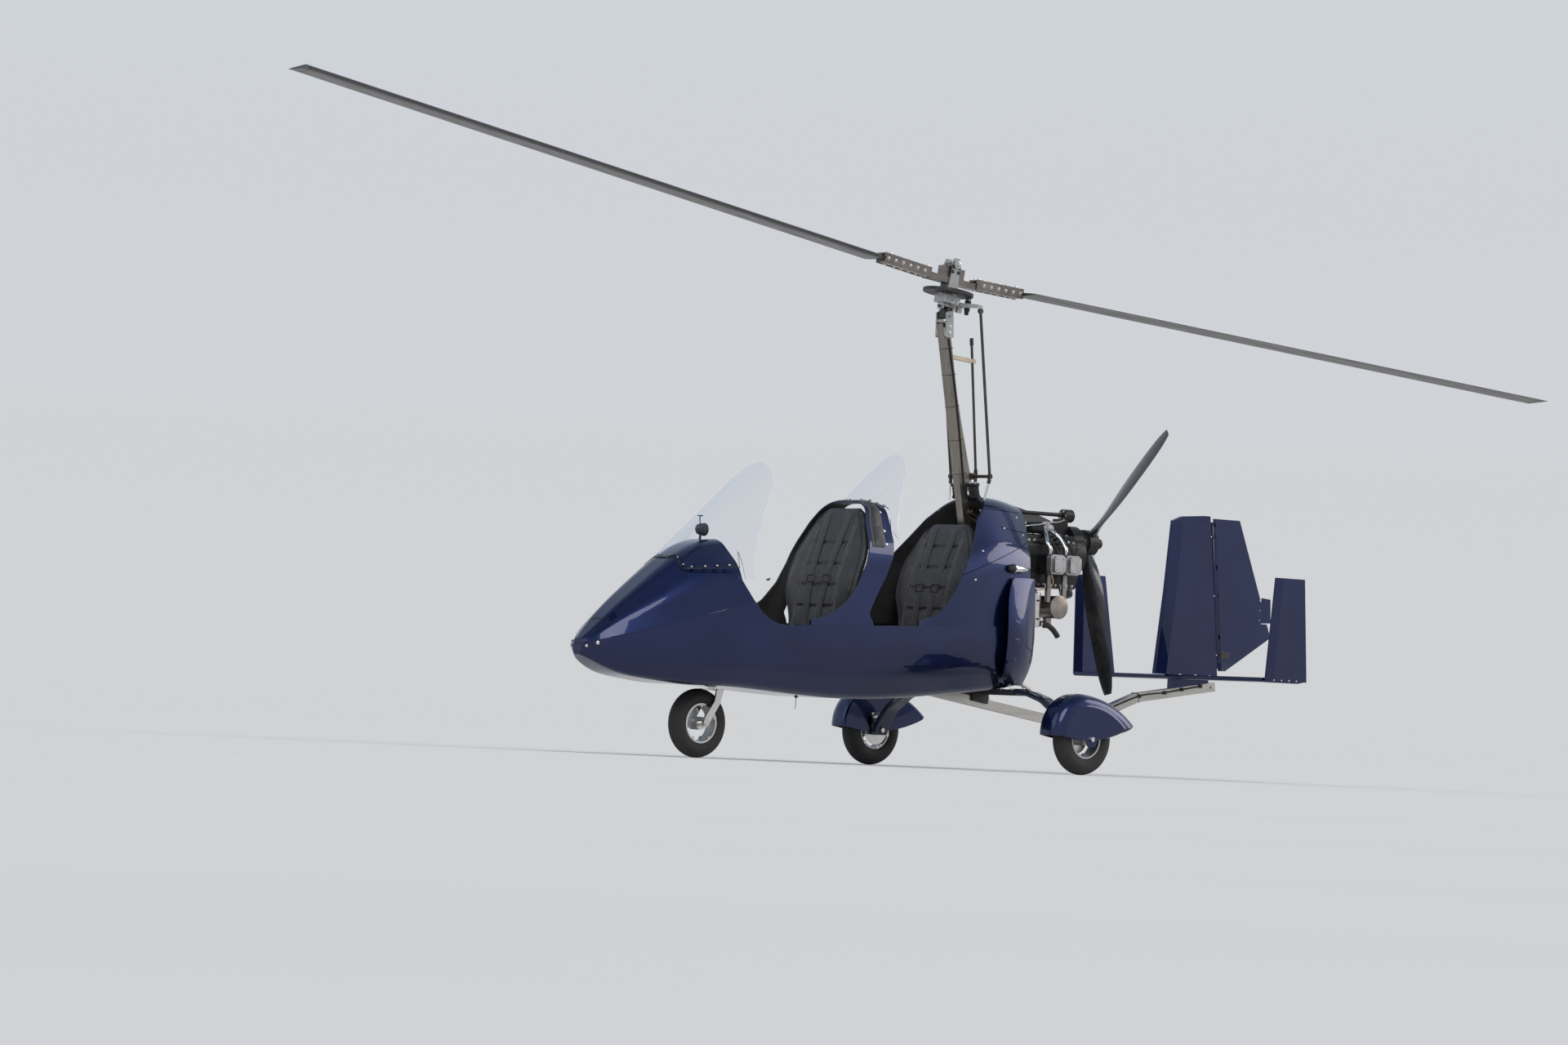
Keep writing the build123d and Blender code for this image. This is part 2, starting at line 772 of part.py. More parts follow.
with BuildPart() as oil_tank:
    with BuildSketch(Plane.XY.offset(790)):
        with Locations((-545, 150)):
            Circle(48)
    extrude(amount=190)
    fillet(oil_tank.edges().filter_by(GeomType.CIRCLE), 10)
    with BuildSketch(Plane.XY.offset(978)):
        with Locations((-545, 150)):
            Circle(22)
    extrude(amount=18)
    with BuildSketch(Plane.XZ.offset(-48.3)):
        with Locations((-568, 850)):
            Rectangle(24, 60)
    extrude(amount=-70)
save(oil_tank, "oil_tank")

# Main gear: sprung bow in two legs, centre clamp, axles and fenders
leg_thickness = 26.0
leg_half_chord = 44.0
leg_bend_radius = 150.0
leg_end_y = half_track - 62.0
leg_path = [
    (352, 427), (450, 423), (leg_end_y - 226, 392), (leg_end_y - 106, 316), (leg_end_y - 16, 222),
]
clamp_half_chord = leg_half_chord + 8.0
with BuildPart() as gear_clamp:
    with BuildSketch(Plane.YZ.offset(main_axle_x - clamp_half_chord)):
        with BuildLine():
            Polyline((-351.7, 411), (351.7, 411), (351.7, 443), (-351.7, 443), close=True)
        make_face()
    extrude(amount=2 * clamp_half_chord)
    with BuildSketch(Plane.XZ):
        with BuildLine():
            Polyline(
                (main_axle_x - 56, 415),
                (main_axle_x + 56, 415),
                (main_axle_x + 56, keel_z(main_axle_x + 56)),
                (main_axle_x - 56, keel_z(main_axle_x - 56)),
                close=True,
            )
        make_face()
    extrude(amount=40, both=True)
    with BuildSketch(keel_section):
        Rectangle(tube_side, tube_side)
    extrude(amount=keel_length, mode=Mode.SUBTRACT)
    with BuildSketch(mast_section):
        Rectangle(tube_side, tube_side)
    extrude(amount=mast_length, mode=Mode.SUBTRACT)
    add(tub_envelope.part, mode=Mode.SUBTRACT)
save(gear_clamp, "gear_clamp")

for side, name in ((1, "left_gear_leg"), (-1, "right_gear_leg")):
    upper = [(side * y, z + 0.5 * leg_thickness) for y, z in leg_path]
    lower = [(side * y - side * 10, z - 0.5 * leg_thickness) for y, z in reversed(leg_path)]
    with BuildPart() as gear_leg:
        with BuildSketch(Plane.YZ.offset(main_axle_x)):
            with BuildLine():
                Polyline(
                    *upper,
                    (side * leg_end_y, 166),
                    (side * (leg_end_y - 24), 166),
                    (side * (leg_end_y - 34), 206),
                    *lower[1:-1],
                    (side * leg_path[0][0], leg_path[0][1] - 0.5 * leg_thickness),
                    close=True,
                )
            leg_view = make_face()
            fillet(
                leg_view.vertices().filter_by(lambda v: 400 < abs(v.X) < leg_end_y - 60),
                leg_bend_radius,
            )
        extrude(amount=leg_half_chord, both=True)
        edge_lines = gear_leg.edges().filter_by(
            lambda e: abs(abs(e.center().X - main_axle_x) - leg_half_chord) < 0.1
        )
        fillet(edge_lines.filter_by(lambda e: e.center().Z > 230 and abs(e.center().Y) > 360), 8)
        with BuildSketch(Plane.XZ.offset(-side * (leg_end_y - 46))):
            with Locations((main_axle_x, main_tyre_radius)):
                Circle(axle_radius + 0.3)
        extrude(amount=-side * 60, mode=Mode.SUBTRACT)
    save(gear_leg, name)

axle_end = half_track + 83.0
axle_start = leg_end_y - 44.0
axle_shoulder = leg_end_y + 1.0
fender_wall = 5.0
fender_inner = half_track - 66.0
fender_outer = half_track + 81.0
for side, name in ((1, "left_axle"), (-1, "right_axle")):
    with BuildPart() as axle:
        for start, end, radius in (
            (axle_start, axle_end, axle_radius),
            (axle_shoulder, half_track - 36, axle_radius + 6.5),
            (half_track + 36, fender_outer - fender_wall - 0.3, axle_radius + 6.5),
        ):
            with BuildSketch(Plane.XZ.offset(-side * start)):
                with Locations((main_axle_x, main_tyre_radius)):
                    Circle(radius)
            extrude(amount=-side * (end - start))
        with BuildSketch(Plane.XZ.offset(-side * axle_end)):
            with Locations((main_axle_x, main_tyre_radius)):
                RegularPolygon(14, 6)
        extrude(amount=-side * 9)
    save(axle, name)

# Fender side view about the main axle: front foot, front shoulder, top, back, tail, belly.
# Stations across it: distance from the inner face, and how much of the height and length is left there.
fender_view = [(254, 14), (192, 176), (8, 238), (-196, 186), (-352, 84), (-100, 2)]
fender_tail = (-336, 68)
fender_low = 20.0
fender_outside = [(0, 0.93), (10, 0.985), (58, 1.0), (95, 0.985), (122, 0.93), (138, 0.845), (147, 0.70)]
fender_inside = [(5, 0.90), (14, 0.955), (58, 0.972), (95, 0.955), (119, 0.90), (133, 0.815), (142, 0.67)]


def fender_point(point, share, side):
    """Point of the fender's side view, drawn in towards its middle, in a section plane of that side."""
    x, z = point
    height = fender_low + (z - fender_low) * share if z > fender_low else z
    return side * (main_axle_x + fender_low + (x - fender_low) * share), main_tyre_radius + height


for side, name in ((1, "left_fender"), (-1, "right_fender")):
    with BuildPart() as fender:
        for stations, belly_drop, mode in (
            (fender_outside, 0, Mode.ADD),
            (fender_inside, 90, Mode.SUBTRACT),
        ):
            for across, share in stations:
                station_y = side * (fender_inner + across)
                section_plane = Plane((0, station_y, 0), x_dir=(side, 0, 0), z_dir=(0, -side, 0))
                front, front_shoulder, top, back, tail, belly = [
                    fender_point(point, share, side) for point in fender_view
                ]
                heel = fender_point(fender_tail, share, side)
                with BuildSketch(section_plane):
                    with BuildLine():
                        ThreePointArc(front, front_shoulder, top)
                        ThreePointArc(top, back, tail)
                        if belly_drop:
                            low_tail = (tail[0], tail[1] - belly_drop)
                            low_front = (front[0], front[1] - belly_drop)
                            Polyline(tail, low_tail, low_front, front)
                        else:
                            Line(tail, heel)
                            ThreePointArc(heel, belly, front)
                    make_face()
            loft(mode=mode)
        with BuildSketch(Plane.XZ.offset(-side * (fender_outer - fender_wall))):
            with Locations((main_axle_x, main_tyre_radius)):
                lobe = Polygon((-62, 34), (-26, -42), (26, -42), (62, 34), align=None)
                fillet(lobe.vertices().filter_by(lambda v: v.Y < main_tyre_radius), 18)
        extrude(amount=-side * fender_wall)
        with BuildSketch(Plane.XZ.offset(-side * (fender_inner - 2))):
            with BuildLine():
                Polyline(
                    (main_axle_x - leg_half_chord - 8, 100),
                    (main_axle_x + leg_half_chord + 8, 100),
                    (main_axle_x + leg_half_chord + 8, 290),
                    (main_axle_x - leg_half_chord - 8, 290),
                    close=True,
                )
            make_face()
        extrude(amount=-side * 12, mode=Mode.SUBTRACT)
        with BuildSketch(Plane.XZ.offset(-side * (fender_outer - 12))):
            with Locations((main_axle_x, main_tyre_radius)):
                Circle(axle_radius + 0.3)
        extrude(amount=-side * 24, mode=Mode.SUBTRACT)
    save(fender, name)

# Wheels: rim with open spokes, and one tyre each
def wheel_places():
    return [
        ("left", main_axle_x, half_track, main_tyre_radius),
        ("right", main_axle_x, -half_track, main_tyre_radius),
        ("nose", nose_axle_x, 0.0, nose_tyre_radius),
    ]


for place, x, y, radius in wheel_places():
    axle_plane = Plane(origin=(x, y, radius), x_dir=(1, 0, 0), z_dir=(0, -1, 0))
    with BuildPart() as rim:
        with BuildSketch(axle_plane.offset(-35)):
            Circle(hub_radius)
        extrude(amount=70)
        with BuildSketch(axle_plane.offset(-38)):
            Circle(rim_radius)
            Circle(rim_radius - 9, mode=Mode.SUBTRACT)
        extrude(amount=76)
        with BuildSketch(axle_plane.offset(-9)):
            with PolarLocations(0, spoke_count):
                with BuildLine():
                    Polyline((28, -21), (100, -32), (100, 32), (28, 21), close=True)
                make_face()
        extrude(amount=18)
        with BuildSketch(axle_plane.offset(-40)):
            Circle(axle_radius + running_gap)
        extrude(amount=80, mode=Mode.SUBTRACT)
    save(rim, place + "_rim")
    with BuildPart() as tyre:
        with BuildSketch(Plane(origin=(x, y, radius), x_dir=(0, 1, 0), z_dir=(1, 0, 0))):
            with BuildLine():
                bead = 0.36 * tyre_width
                bead_radius = rim_radius + 0.3
                wide = 0.5 * tyre_width
                Line((-bead, bead_radius), (bead, bead_radius))
                wall_radius = 0.5 * (radius + rim_radius)
                ThreePointArc((bead, bead_radius), (wide, wall_radius), (wide - 10, radius - 22))
                ThreePointArc((wide - 10, radius - 22), (0, radius), (10 - wide, radius - 22))
                ThreePointArc((10 - wide, radius - 22), (-wide, wall_radius), (-bead, bead_radius))
            make_face()
        revolve(axis=Axis((x, y, radius), (0, 1, 0)))
    save(tyre, place + "_tyre")

# Nose fork on an upright steering stem
crown_low = 357.0
crown_high = 367.0
with BuildPart() as nose_fork:
    with BuildSketch(Plane.XY.offset(crown_high - 5)):
        with Locations((steer_x, 0)):
            Circle(stem_radius)
    extrude(amount=125)
    with BuildSketch(Plane.XY.offset(crown_low)):
        with Locations((steer_x - 8, 0)):
            Rectangle(46, 2 * fork_leg_y + 12)
    extrude(amount=crown_high - crown_low)
    for side in (1, -1):
        with BuildSketch(Plane.XZ.offset(-side * (fork_leg_y - 6))):
            with BuildLine():
                Polyline(
                    (steer_x - 31, crown_high),
                    (steer_x + 15, crown_high),
                    (steer_x + 30, 300),
                    (nose_axle_x + 17, nose_tyre_radius + 14),
                    (nose_axle_x + 14, nose_tyre_radius - 18),
                    (nose_axle_x - 16, nose_tyre_radius - 16),
                    (steer_x - 8, 290),
                    close=True,
                )
            make_face()
        extrude(amount=-side * 12)
    with BuildSketch(Plane.XZ.offset(-fork_leg_y - 16)):
        with Locations((nose_axle_x, nose_tyre_radius)):
            Circle(axle_radius)
    extrude(amount=2 * fork_leg_y + 32)
    with BuildSketch(Plane.XZ.offset(-fork_leg_y - 22)):
        with Locations((nose_axle_x, nose_tyre_radius)):
            Circle(tow_bore_radius)
    extrude(amount=2 * fork_leg_y + 44, mode=Mode.SUBTRACT)
save(nose_fork, "nose_fork")

# Propeller
hub_disc_radius = 72.0
with BuildPart() as propeller_hub:
    with BuildSketch(Plane.YZ.offset(propeller_x - 34)):
        with Locations((0, propeller_z)):
            Circle(hub_disc_radius)
    extrude(amount=68)
    with BuildSketch(Plane.YZ.offset(propeller_x + 30)):
        with Locations((0, propeller_z)):
            Circle(58)
    extrude(amount=gearbox_face_x - 6 - (propeller_x + 30))
    with BuildSketch(Plane.YZ.offset(propeller_x + 30)):
        with Locations((0, propeller_z)):
            Circle(propeller_shaft_radius)
    extrude(amount=gearbox_face_x + 50 - (propeller_x + 30))
    with BuildSketch(Plane.YZ.offset(propeller_x - 34)):
        with Locations((0, propeller_z)):
            Circle(27)
    extrude(amount=-64)
    with BuildSketch(Plane.YZ.offset(propeller_x - 100)):
        with Locations((0, propeller_z)):
            Circle(20)
    extrude(amount=50, mode=Mode.SUBTRACT)
save(propeller_hub, "propeller_hub")

# Blade stations: radius, chord, thickness, pitch in degrees
propeller_stations = [
    (hub_disc_radius + 0.3, 56, 50, 46), (170, 92, 28, 38), (330, 118, 19, 29), (560, 108, 13, 22),
    (760, 84, 9, 18), (propeller_radius, 46, 6, 16),
]
for turn in range(3):
    angle = radians(propeller_phase + 120 * turn)
    outward = Vector(0, sin(angle), cos(angle))
    chordwise = Vector(0, cos(angle), -sin(angle))
    with BuildPart() as propeller_blade:
        for radius, chord, thick, pitch in propeller_stations:
            centre = Vector(propeller_x, 0, propeller_z) + outward * radius
            across = chordwise * cos(radians(pitch)) + Vector(1, 0, 0) * sin(radians(pitch))
            with BuildSketch(Plane(origin=centre, x_dir=across, z_dir=outward)):
                with BuildLine():
                    ThreePointArc((-0.5 * chord, 0), (0, 0.5 * thick), (0.5 * chord, 0))
                    ThreePointArc((0.5 * chord, 0), (0, -0.5 * thick), (-0.5 * chord, 0))
                make_face()
        loft()
    save(propeller_blade, "propeller_blade_" + str(turn + 1))

# Tail: flat stabilizer, tip fins, centre fin, rudder and trim tab
def boom_top_z(x):
    return boom_kink_z + keel_slope * (boom_kink_x - x) + 0.5 * tube_side + 0.5


with BuildPart() as stabilizer:
    with BuildSketch(Plane.XZ):
        with BuildLine():
            Polyline((-1744, 553), (-2010, 553), (-2062, 563), (-2062, 567), (-2010, 578), (-1744, 578))
            ThreePointArc((-1744, 578), (-1731.5, 565.5), (-1744, 553))
        make_face()
    extrude(amount=752.7, both=True)
    with BuildSketch(Plane.XZ):
        with BuildLine():
            Polyline(
                (-1760, 556),
                (-2040, 556),
                (-2040, boom_top_z(-2040)),
                (-1760, boom_top_z(-1760)),
                close=True,
            )
        make_face()
    extrude(amount=20, both=True)
save(stabilizer, "stabilizer")

for side, name in ((1, "left_tip_fin"), (-1, "right_tip_fin")):
    with BuildPart() as tip_fin:
        for z, y, lead, trail, half in ((562, 765, -1740, -2064, 12), (1128, 797, -1756, -1986, 8)):
            with BuildSketch(Plane.XY.offset(z)):
                with BuildLine():
                    nose = 0.45 * half
                    Polyline(
                        (lead - nose, side * (y - 0.5 * half)),
                        (lead - 60, side * (y - half)),
                        (trail, side * (y - 2)),
                        (trail, side * (y + 2)),
                        (lead - 60, side * (y + half)),
                        (lead - nose, side * (y + 0.5 * half)),
                    )
                    ThreePointArc(
                        (lead - nose, side * (y + 0.5 * half)),
                        (lead, side * y),
                        (lead - nose, side * (y - 0.5 * half)),
                    )
                make_face()
        loft()
    save(tip_fin, name)

# Centre fin and rudder stations: height, leading edge, fin rear, rudder nose, rudder rear, half thickness
hinge_slope = (hinge_head[0] - hinge_foot[0]) / (hinge_head[1] - hinge_foot[1])


def hinge_x(z):
    return hinge_foot[0] + hinge_slope * (z - hinge_foot[1])


fin_back_gap = 18.0
fin_stations = [(578.3, -1624, 26), (1040, -1679, 22), (1434, -1714, 16)]
with BuildPart() as fin:
    for z, lead, half in fin_stations:
        rear = hinge_x(z) + fin_back_gap
        with BuildSketch(Plane.XY.offset(z)):
            with BuildLine():
                nose = 0.45 * half
                Polyline(
                    (lead - nose, -0.5 * half),
                    (lead - 80, -half),
                    (rear, -0.7 * half),
                    (rear, 0.7 * half),
                    (lead - 80, half),
                    (lead - nose, 0.5 * half),
                )
                ThreePointArc((lead - nose, 0.5 * half), (lead, 0), (lead - nose, -0.5 * half))
            make_face()
    loft(ruled=True)
    with BuildSketch(Plane.XZ):
        with BuildLine():
            Polyline(
                (-1714, 1433),
                (hinge_x(1433) + fin_back_gap, 1433),
                (hinge_x(1474) + fin_back_gap, 1474),
                (-1960, 1474),
                (-1790, 1462),
                close=True,
            )
        make_face()
    extrude(amount=11, both=True)
    for z in (700, 1030, 1360):
        plane = Plane(
            origin=(hinge_x(z), 0, z), x_dir=(0, 1, 0), z_dir=(hinge_slope, 0, 1)
        )
        with BuildSketch(plane.offset(-9)):
            Circle(hinge_radius + 6)
            with Locations((0, 0)):
                Rectangle(12, 12)
        extrude(amount=18)
        with BuildSketch(Plane.XZ):
            with BuildLine():
                Polyline(
                    (hinge_x(z) - 0.1, z - 9), (hinge_x(z) + fin_back_gap + 6, z - 9),
                    (hinge_x(z) + fin_back_gap + 6, z + 9), (hinge_x(z) + 0.1, z + 9), close=True,
                )
            make_face()
        extrude(amount=6, both=True)
    bore_plane = Plane(
        origin=(hinge_x(560), 0, 560), x_dir=(0, 1, 0), z_dir=(hinge_slope, 0, 1)
    )
    with BuildSketch(bore_plane):
        Circle(hinge_radius + running_gap)
    extrude(amount=1000, mode=Mode.SUBTRACT)
save(fin, "fin")

rudder_nose = 20.0
with BuildPart() as rudder:
    for z, rear, half in ((612, -2184, 15), (800, -2506, 14), (815, -2531, 14), (1462, -2250, 10)):
        front = hinge_x(z) - rudder_nose
        with BuildSketch(Plane.XY.offset(z)):
            with BuildLine():
                Polyline((front, -half), (rear, -2), (rear, 2), (front, half), close=True)
            make_face()
    loft(ruled=True)
    with BuildSketch(bore_plane.offset(64)):
        Circle(hinge_radius)
    extrude(amount=(1462 - 560) * sqrt(1 + hinge_slope**2) - 84)
    for z in (800, 1190, 1430):
        with BuildSketch(Plane.XZ):
            with BuildLine():
                Polyline(
                    (hinge_x(z), z - 12), (hinge_x(z) - rudder_nose - 12, z - 12),
                    (hinge_x(z) - rudder_nose - 12, z + 12), (hinge_x(z), z + 12), close=True,
                )
            make_face()
        extrude(amount=6, both=True)
    with BuildSketch(Plane.XZ):
        with BuildLine():
            Polyline((-2449, 890), (-2449, 1040), (-2560, 1040), (-2560, 890), close=True)
        make_face()
    extrude(amount=30, both=True, mode=Mode.SUBTRACT)
save(rudder, "rudder")

with BuildPart() as trim_tab:
    with BuildSketch(Plane.XZ):
        with BuildLine():
            Polyline((-2449.3, 893), (-2449.3, 1037), (-2520, 1031), (-2528, 897), close=True)
        make_face()
    extrude(amount=1.5, both=True)
save(trim_tab, "trim_tab")

# Rotor head. Shaft axis leans aft; every height below is measured along it from the blade plane.
shaft_dir = Vector(-sin(radians(shaft_tilt)), 0, cos(radians(shaft_tilt)))
forward_dir = Vector(cos(radians(shaft_tilt)), 0, sin(radians(shaft_tilt)))
port_dir = Vector(0, 1, 0)
hub_point = Vector(hub_x, 0, hub_z)


def shaft_plane(height):
    """Plane across the shaft: local x forward, local y to port."""
    return Plane(origin=hub_point + shaft_dir * height, x_dir=forward_dir, z_dir=shaft_dir)


pitch_height = -196.0
roll_height = -150.0
pitch_point = hub_point + shaft_dir * pitch_height
roll_point = hub_point + shaft_dir * roll_height
pin_radius = 7.0
cheek_inner = 0.5 * tube_side + 11.0
cheek_spacer = 0.5 * tube_side + 0.3

with BuildPart() as head_fork:
    for side in (1, -1):
        with BuildSketch(Plane.XZ.offset(-side * cheek_inner)):
            with BuildLine():
                Polyline(
                    (pitch_point.X - 24, pitch_point.Z + 16),
                    (pitch_point.X - 10, pitch_point.Z + 24),
                    (pitch_point.X + 10, pitch_point.Z + 24),
                    (pitch_point.X + 24, pitch_point.Z + 16),
                    (mast_x(2330) + 28, 2330),
                    (mast_x(2330) - 28, 2330),
                    close=True,
                )
            make_face()
        extrude(amount=-side * 8)
        with BuildSketch(Plane.XZ.offset(-side * cheek_spacer)):
            with BuildLine():
                Polyline(
                    (mast_x(2380) + 24, 2380), (mast_x(2335) + 24, 2335),
                    (mast_x(2335) - 24, 2335), (mast_x(2380) - 24, 2380), close=True,
                )
            make_face()
        extrude(amount=-side * (cheek_inner - cheek_spacer + 0.3))
    with BuildSketch(Plane.XY.offset(2411)):
        with Locations((mast_x(2411), 0)):
            Rectangle(40, 2 * cheek_inner + 4)
    extrude(amount=5)
    with BuildSketch(Plane.XZ.offset(-60)):
        with Locations((pitch_point.X, pitch_point.Z)):
            Circle(pin_radius)
    extrude(amount=120)
save(head_fork, "head_fork")

pitch_plane = Plane(origin=pitch_point, x_dir=forward_dir, z_dir=(0, -1, 0))
roll_plane = Plane(origin=roll_point, x_dir=port_dir, z_dir=forward_dir)
with BuildPart() as head_gimbal:
    with BuildSketch(pitch_plane.offset(-30)):
        Circle(17)
        with Locations((0, 26)):
            Rectangle(30, 44)
    extrude(amount=60)
    with BuildSketch(roll_plane.offset(-58)):
        Circle(pin_radius)
    extrude(amount=116)
    with BuildSketch(pitch_plane.offset(-40)):
        Circle(pin_radius + running_gap)
    extrude(amount=80, mode=Mode.SUBTRACT)
save(head_gimbal, "head_gimbal")

arm_eye = (-125.0, 138.0)
bearing_low = -128.0
bearing_high = -88.0
with BuildPart() as bearing_block:
    with BuildSketch(shaft_plane(bearing_low)):
        RectangleRounded(118, 96, 14)
    extrude(amount=bearing_high - bearing_low)
    for fore in (1, -1):
        with BuildSketch(roll_plane.offset(fore * 38 - 7)):
            Circle(20)
            with Locations((0, 22)):
                Rectangle(40, 36)
        extrude(amount=14)
    with BuildSketch(roll_plane.offset(-60)):
        Circle(pin_radius + running_gap)
    extrude(amount=120, mode=Mode.SUBTRACT)
    with BuildSketch(shaft_plane(bearing_low)):
        with BuildLine():
            Polyline(
                (-50, -40), (-105, -arm_eye[1]), (-140, -arm_eye[1]), (-96, 0),
                (-140, arm_eye[1]), (-105, arm_eye[1]), (-50, 40), close=True,
            )
        make_face()
    extrude(amount=16)
    with BuildSketch(shaft_plane(bearing_low - 30)):
        with Locations((-92, 0)):
            Circle(20)
    extrude(amount=54)
    with BuildSketch(shaft_plane(bearing_low - 20)):
        Circle(16 + running_gap)
    extrude(amount=100, mode=Mode.SUBTRACT)
save(bearing_block, "bearing_block")

with BuildPart() as ring_gear:
    with BuildSketch(shaft_plane(-ring_drop - 9)):
        Circle(ring_radius)
        Circle(44, mode=Mode.SUBTRACT)
    extrude(amount=16)
    with BuildSketch(shaft_plane(-ring_drop - 3)):
        with PolarLocations(86, 8):
            Circle(17)
    extrude(amount=20, mode=Mode.SUBTRACT)
save(ring_gear, "ring_gear")

tower_gap = 31.0
blade_axis = forward_dir * cos(radians(rotor_azimuth)) + port_dir * sin(radians(rotor_azimuth))
across_axis = shaft_dir.cross(blade_axis)
teeter_point = hub_point + shaft_dir * teeter_height


def rotor_plane(height):
    """Plane across the shaft: local x along the front blade, local y across it."""
    return Plane(origin=hub_point + shaft_dir * height, x_dir=blade_axis, z_dir=shaft_dir)


teeter_plane = Plane(origin=teeter_point, x_dir=blade_axis, z_dir=-across_axis)
bar_half = 30.0
with BuildPart() as hub_tower:
    with BuildSketch(shaft_plane(-116)):
        Circle(16)
    extrude(amount=44)
    with BuildSketch(shaft_plane(-76)):
        Circle(43.7)
    extrude(amount=22)
    for side in (1, -1):
        with BuildSketch(teeter_plane.offset(side * (tower_gap + 5) - 5)):
            with BuildLine():
                Polyline(
                    (-34, -138), (34, -138), (24, -20), (24, 20), (14, 36), (-14, 36),
                    (-24, 20), (-24, -20), close=True,
                )
            make_face()
        extrude(amount=10)
    with BuildSketch(teeter_plane.offset(-54)):
        Circle(pin_radius + 1)
    extrude(amount=108)
save(hub_tower, "hub_tower")

# Blades and hub bar: both blades rise outward by the precone
def blade_frame(turn):
    outward = blade_axis * (cos(radians(precone)) * turn) + shaft_dir * sin(radians(precone))
    across = across_axis * turn
    return outward, across


with BuildPart() as hub_bar:
    with BuildSketch(teeter_plane.offset(-21)):
        Circle(19)
    extrude(amount=42)
    with BuildSketch(rotor_plane(-20)):
        Rectangle(150, 42)
    extrude(amount=90)
    with BuildSketch(rotor_plane(-20)):
        Rectangle(2 * clamp_root, 60)
    extrude(amount=34)
    for turn in (1, -1):
        outward, across = blade_frame(turn)
        up = outward.cross(across)
        start = hub_point + outward * 70
        with BuildSketch(Plane(origin=start, x_dir=across, z_dir=outward)):
            with Locations((0, -6)):
                Rectangle(60, 30)
        extrude(amount=clamp_tip - 70)
        start = hub_point + outward * clamp_root
        with BuildSketch(Plane(origin=start, x_dir=across, z_dir=outward)):
            for edge in (1, -1):
                with Locations((edge * 34, 2)):
                    Rectangle(10, 54)
            with Locations((0, 26)):
                Rectangle(78, 8)
        extrude(amount=clamp_tip - clamp_root)
    with BuildSketch(teeter_plane.offset(-30)):
        Circle(pin_radius + 1 + running_gap)
    extrude(amount=60, mode=Mode.SUBTRACT)
save(hub_bar, "hub_bar")

for turn, name in ((1, "front_blade"), (-1, "rear_blade")):
    outward, across = blade_frame(turn)
    root_plane = Plane(origin=hub_point + outward * (clamp_tip + 0.3), x_dir=across, z_dir=outward)
    with BuildPart() as blade:
        with BuildSketch(root_plane):
            with BuildLine():
                thick = 0.12 * rotor_chord
                nose = 0.27 * rotor_chord
                tail = nose - rotor_chord
                Line((tail, -1), (tail, 1))
                ThreePointArc((tail, 1), (0.35 * tail, 0.4 * thick), (0, 0.5 * thick + 1))
                ThreePointArc((0, 0.5 * thick + 1), (0.75 * nose, 0.32 * thick), (nose, 0))
                ThreePointArc((nose, 0), (0.75 * nose, -0.22 * thick), (0, -0.4 * thick))
                ThreePointArc((0, -0.4 * thick), (0.35 * tail, -0.3 * thick), (tail, -1))
            make_face()
        extrude(amount=rotor_radius - clamp_tip)
    save(blade, name)

# Control rods from the lower cross shaft to the head
rod_span = 156.0
rod_top = (-64, 2478)
rod_foot = (-186, 1590)
with BuildPart() as control_rods:
    for side in (1, -1):
        rod_section, rod_length = side_run(rod_foot, rod_top, side * rod_span)
        with BuildSketch(rod_section):
            Circle(8)
        extrude(amount=rod_length)
        with BuildSketch(Plane.XZ.offset(-side * rod_span + 8.5)):
            with Locations(rod_top, rod_foot):
                Circle(14)
        extrude(amount=-17)
    with BuildSketch(Plane.XZ.offset(-rod_span - 12)):
        with Locations(rod_foot):
            Circle(9)
    extrude(amount=2 * rod_span + 24)
    with BuildSketch(Plane.XY.offset(1572)):
        with Locations((rod_foot[0] + 3, 0)):
            Rectangle(34, 56)
    extrude(amount=36)
    add(mast.part, mode=Mode.SUBTRACT)
save(control_rods, "control_rods")
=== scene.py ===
import math

import bmesh
import bpy
from mathutils import Matrix, Vector
from mathutils.bvhtree import BVHTree


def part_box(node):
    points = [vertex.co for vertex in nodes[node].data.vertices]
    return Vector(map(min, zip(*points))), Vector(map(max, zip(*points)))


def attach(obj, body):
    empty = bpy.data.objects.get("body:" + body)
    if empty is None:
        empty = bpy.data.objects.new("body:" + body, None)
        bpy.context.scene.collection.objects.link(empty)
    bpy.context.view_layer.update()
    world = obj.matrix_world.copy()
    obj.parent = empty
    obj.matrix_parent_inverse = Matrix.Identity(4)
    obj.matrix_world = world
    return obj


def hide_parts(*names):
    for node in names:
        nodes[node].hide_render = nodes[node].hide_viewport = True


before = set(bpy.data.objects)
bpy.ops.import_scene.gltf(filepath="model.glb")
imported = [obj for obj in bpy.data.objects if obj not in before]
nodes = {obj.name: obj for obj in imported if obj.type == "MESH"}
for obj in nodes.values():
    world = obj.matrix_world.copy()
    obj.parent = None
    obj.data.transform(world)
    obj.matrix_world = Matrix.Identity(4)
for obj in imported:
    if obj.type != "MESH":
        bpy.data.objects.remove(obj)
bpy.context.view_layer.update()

# Materials


def principled(name, color, roughness, metallic=0.0, coat=0.0, coat_roughness=0.06, sheen=0.0,
               transmission=0.0, ior=None, specular=None):
    material = bpy.data.materials.new(name)
    material.use_nodes = True
    shader = material.node_tree.nodes["Principled BSDF"]
    values = {
        "Base Color": (*color, 1), "Roughness": roughness, "Metallic": metallic, "Coat Weight": coat,
        "Coat Roughness": coat_roughness, "Sheen Weight": sheen, "Transmission Weight": transmission,
    }
    if ior is not None:
        values["IOR"] = ior
    if specular is not None:
        values["Specular IOR Level"] = specular
    for socket, value in values.items():
        shader.inputs[socket].default_value = value
    return material, shader


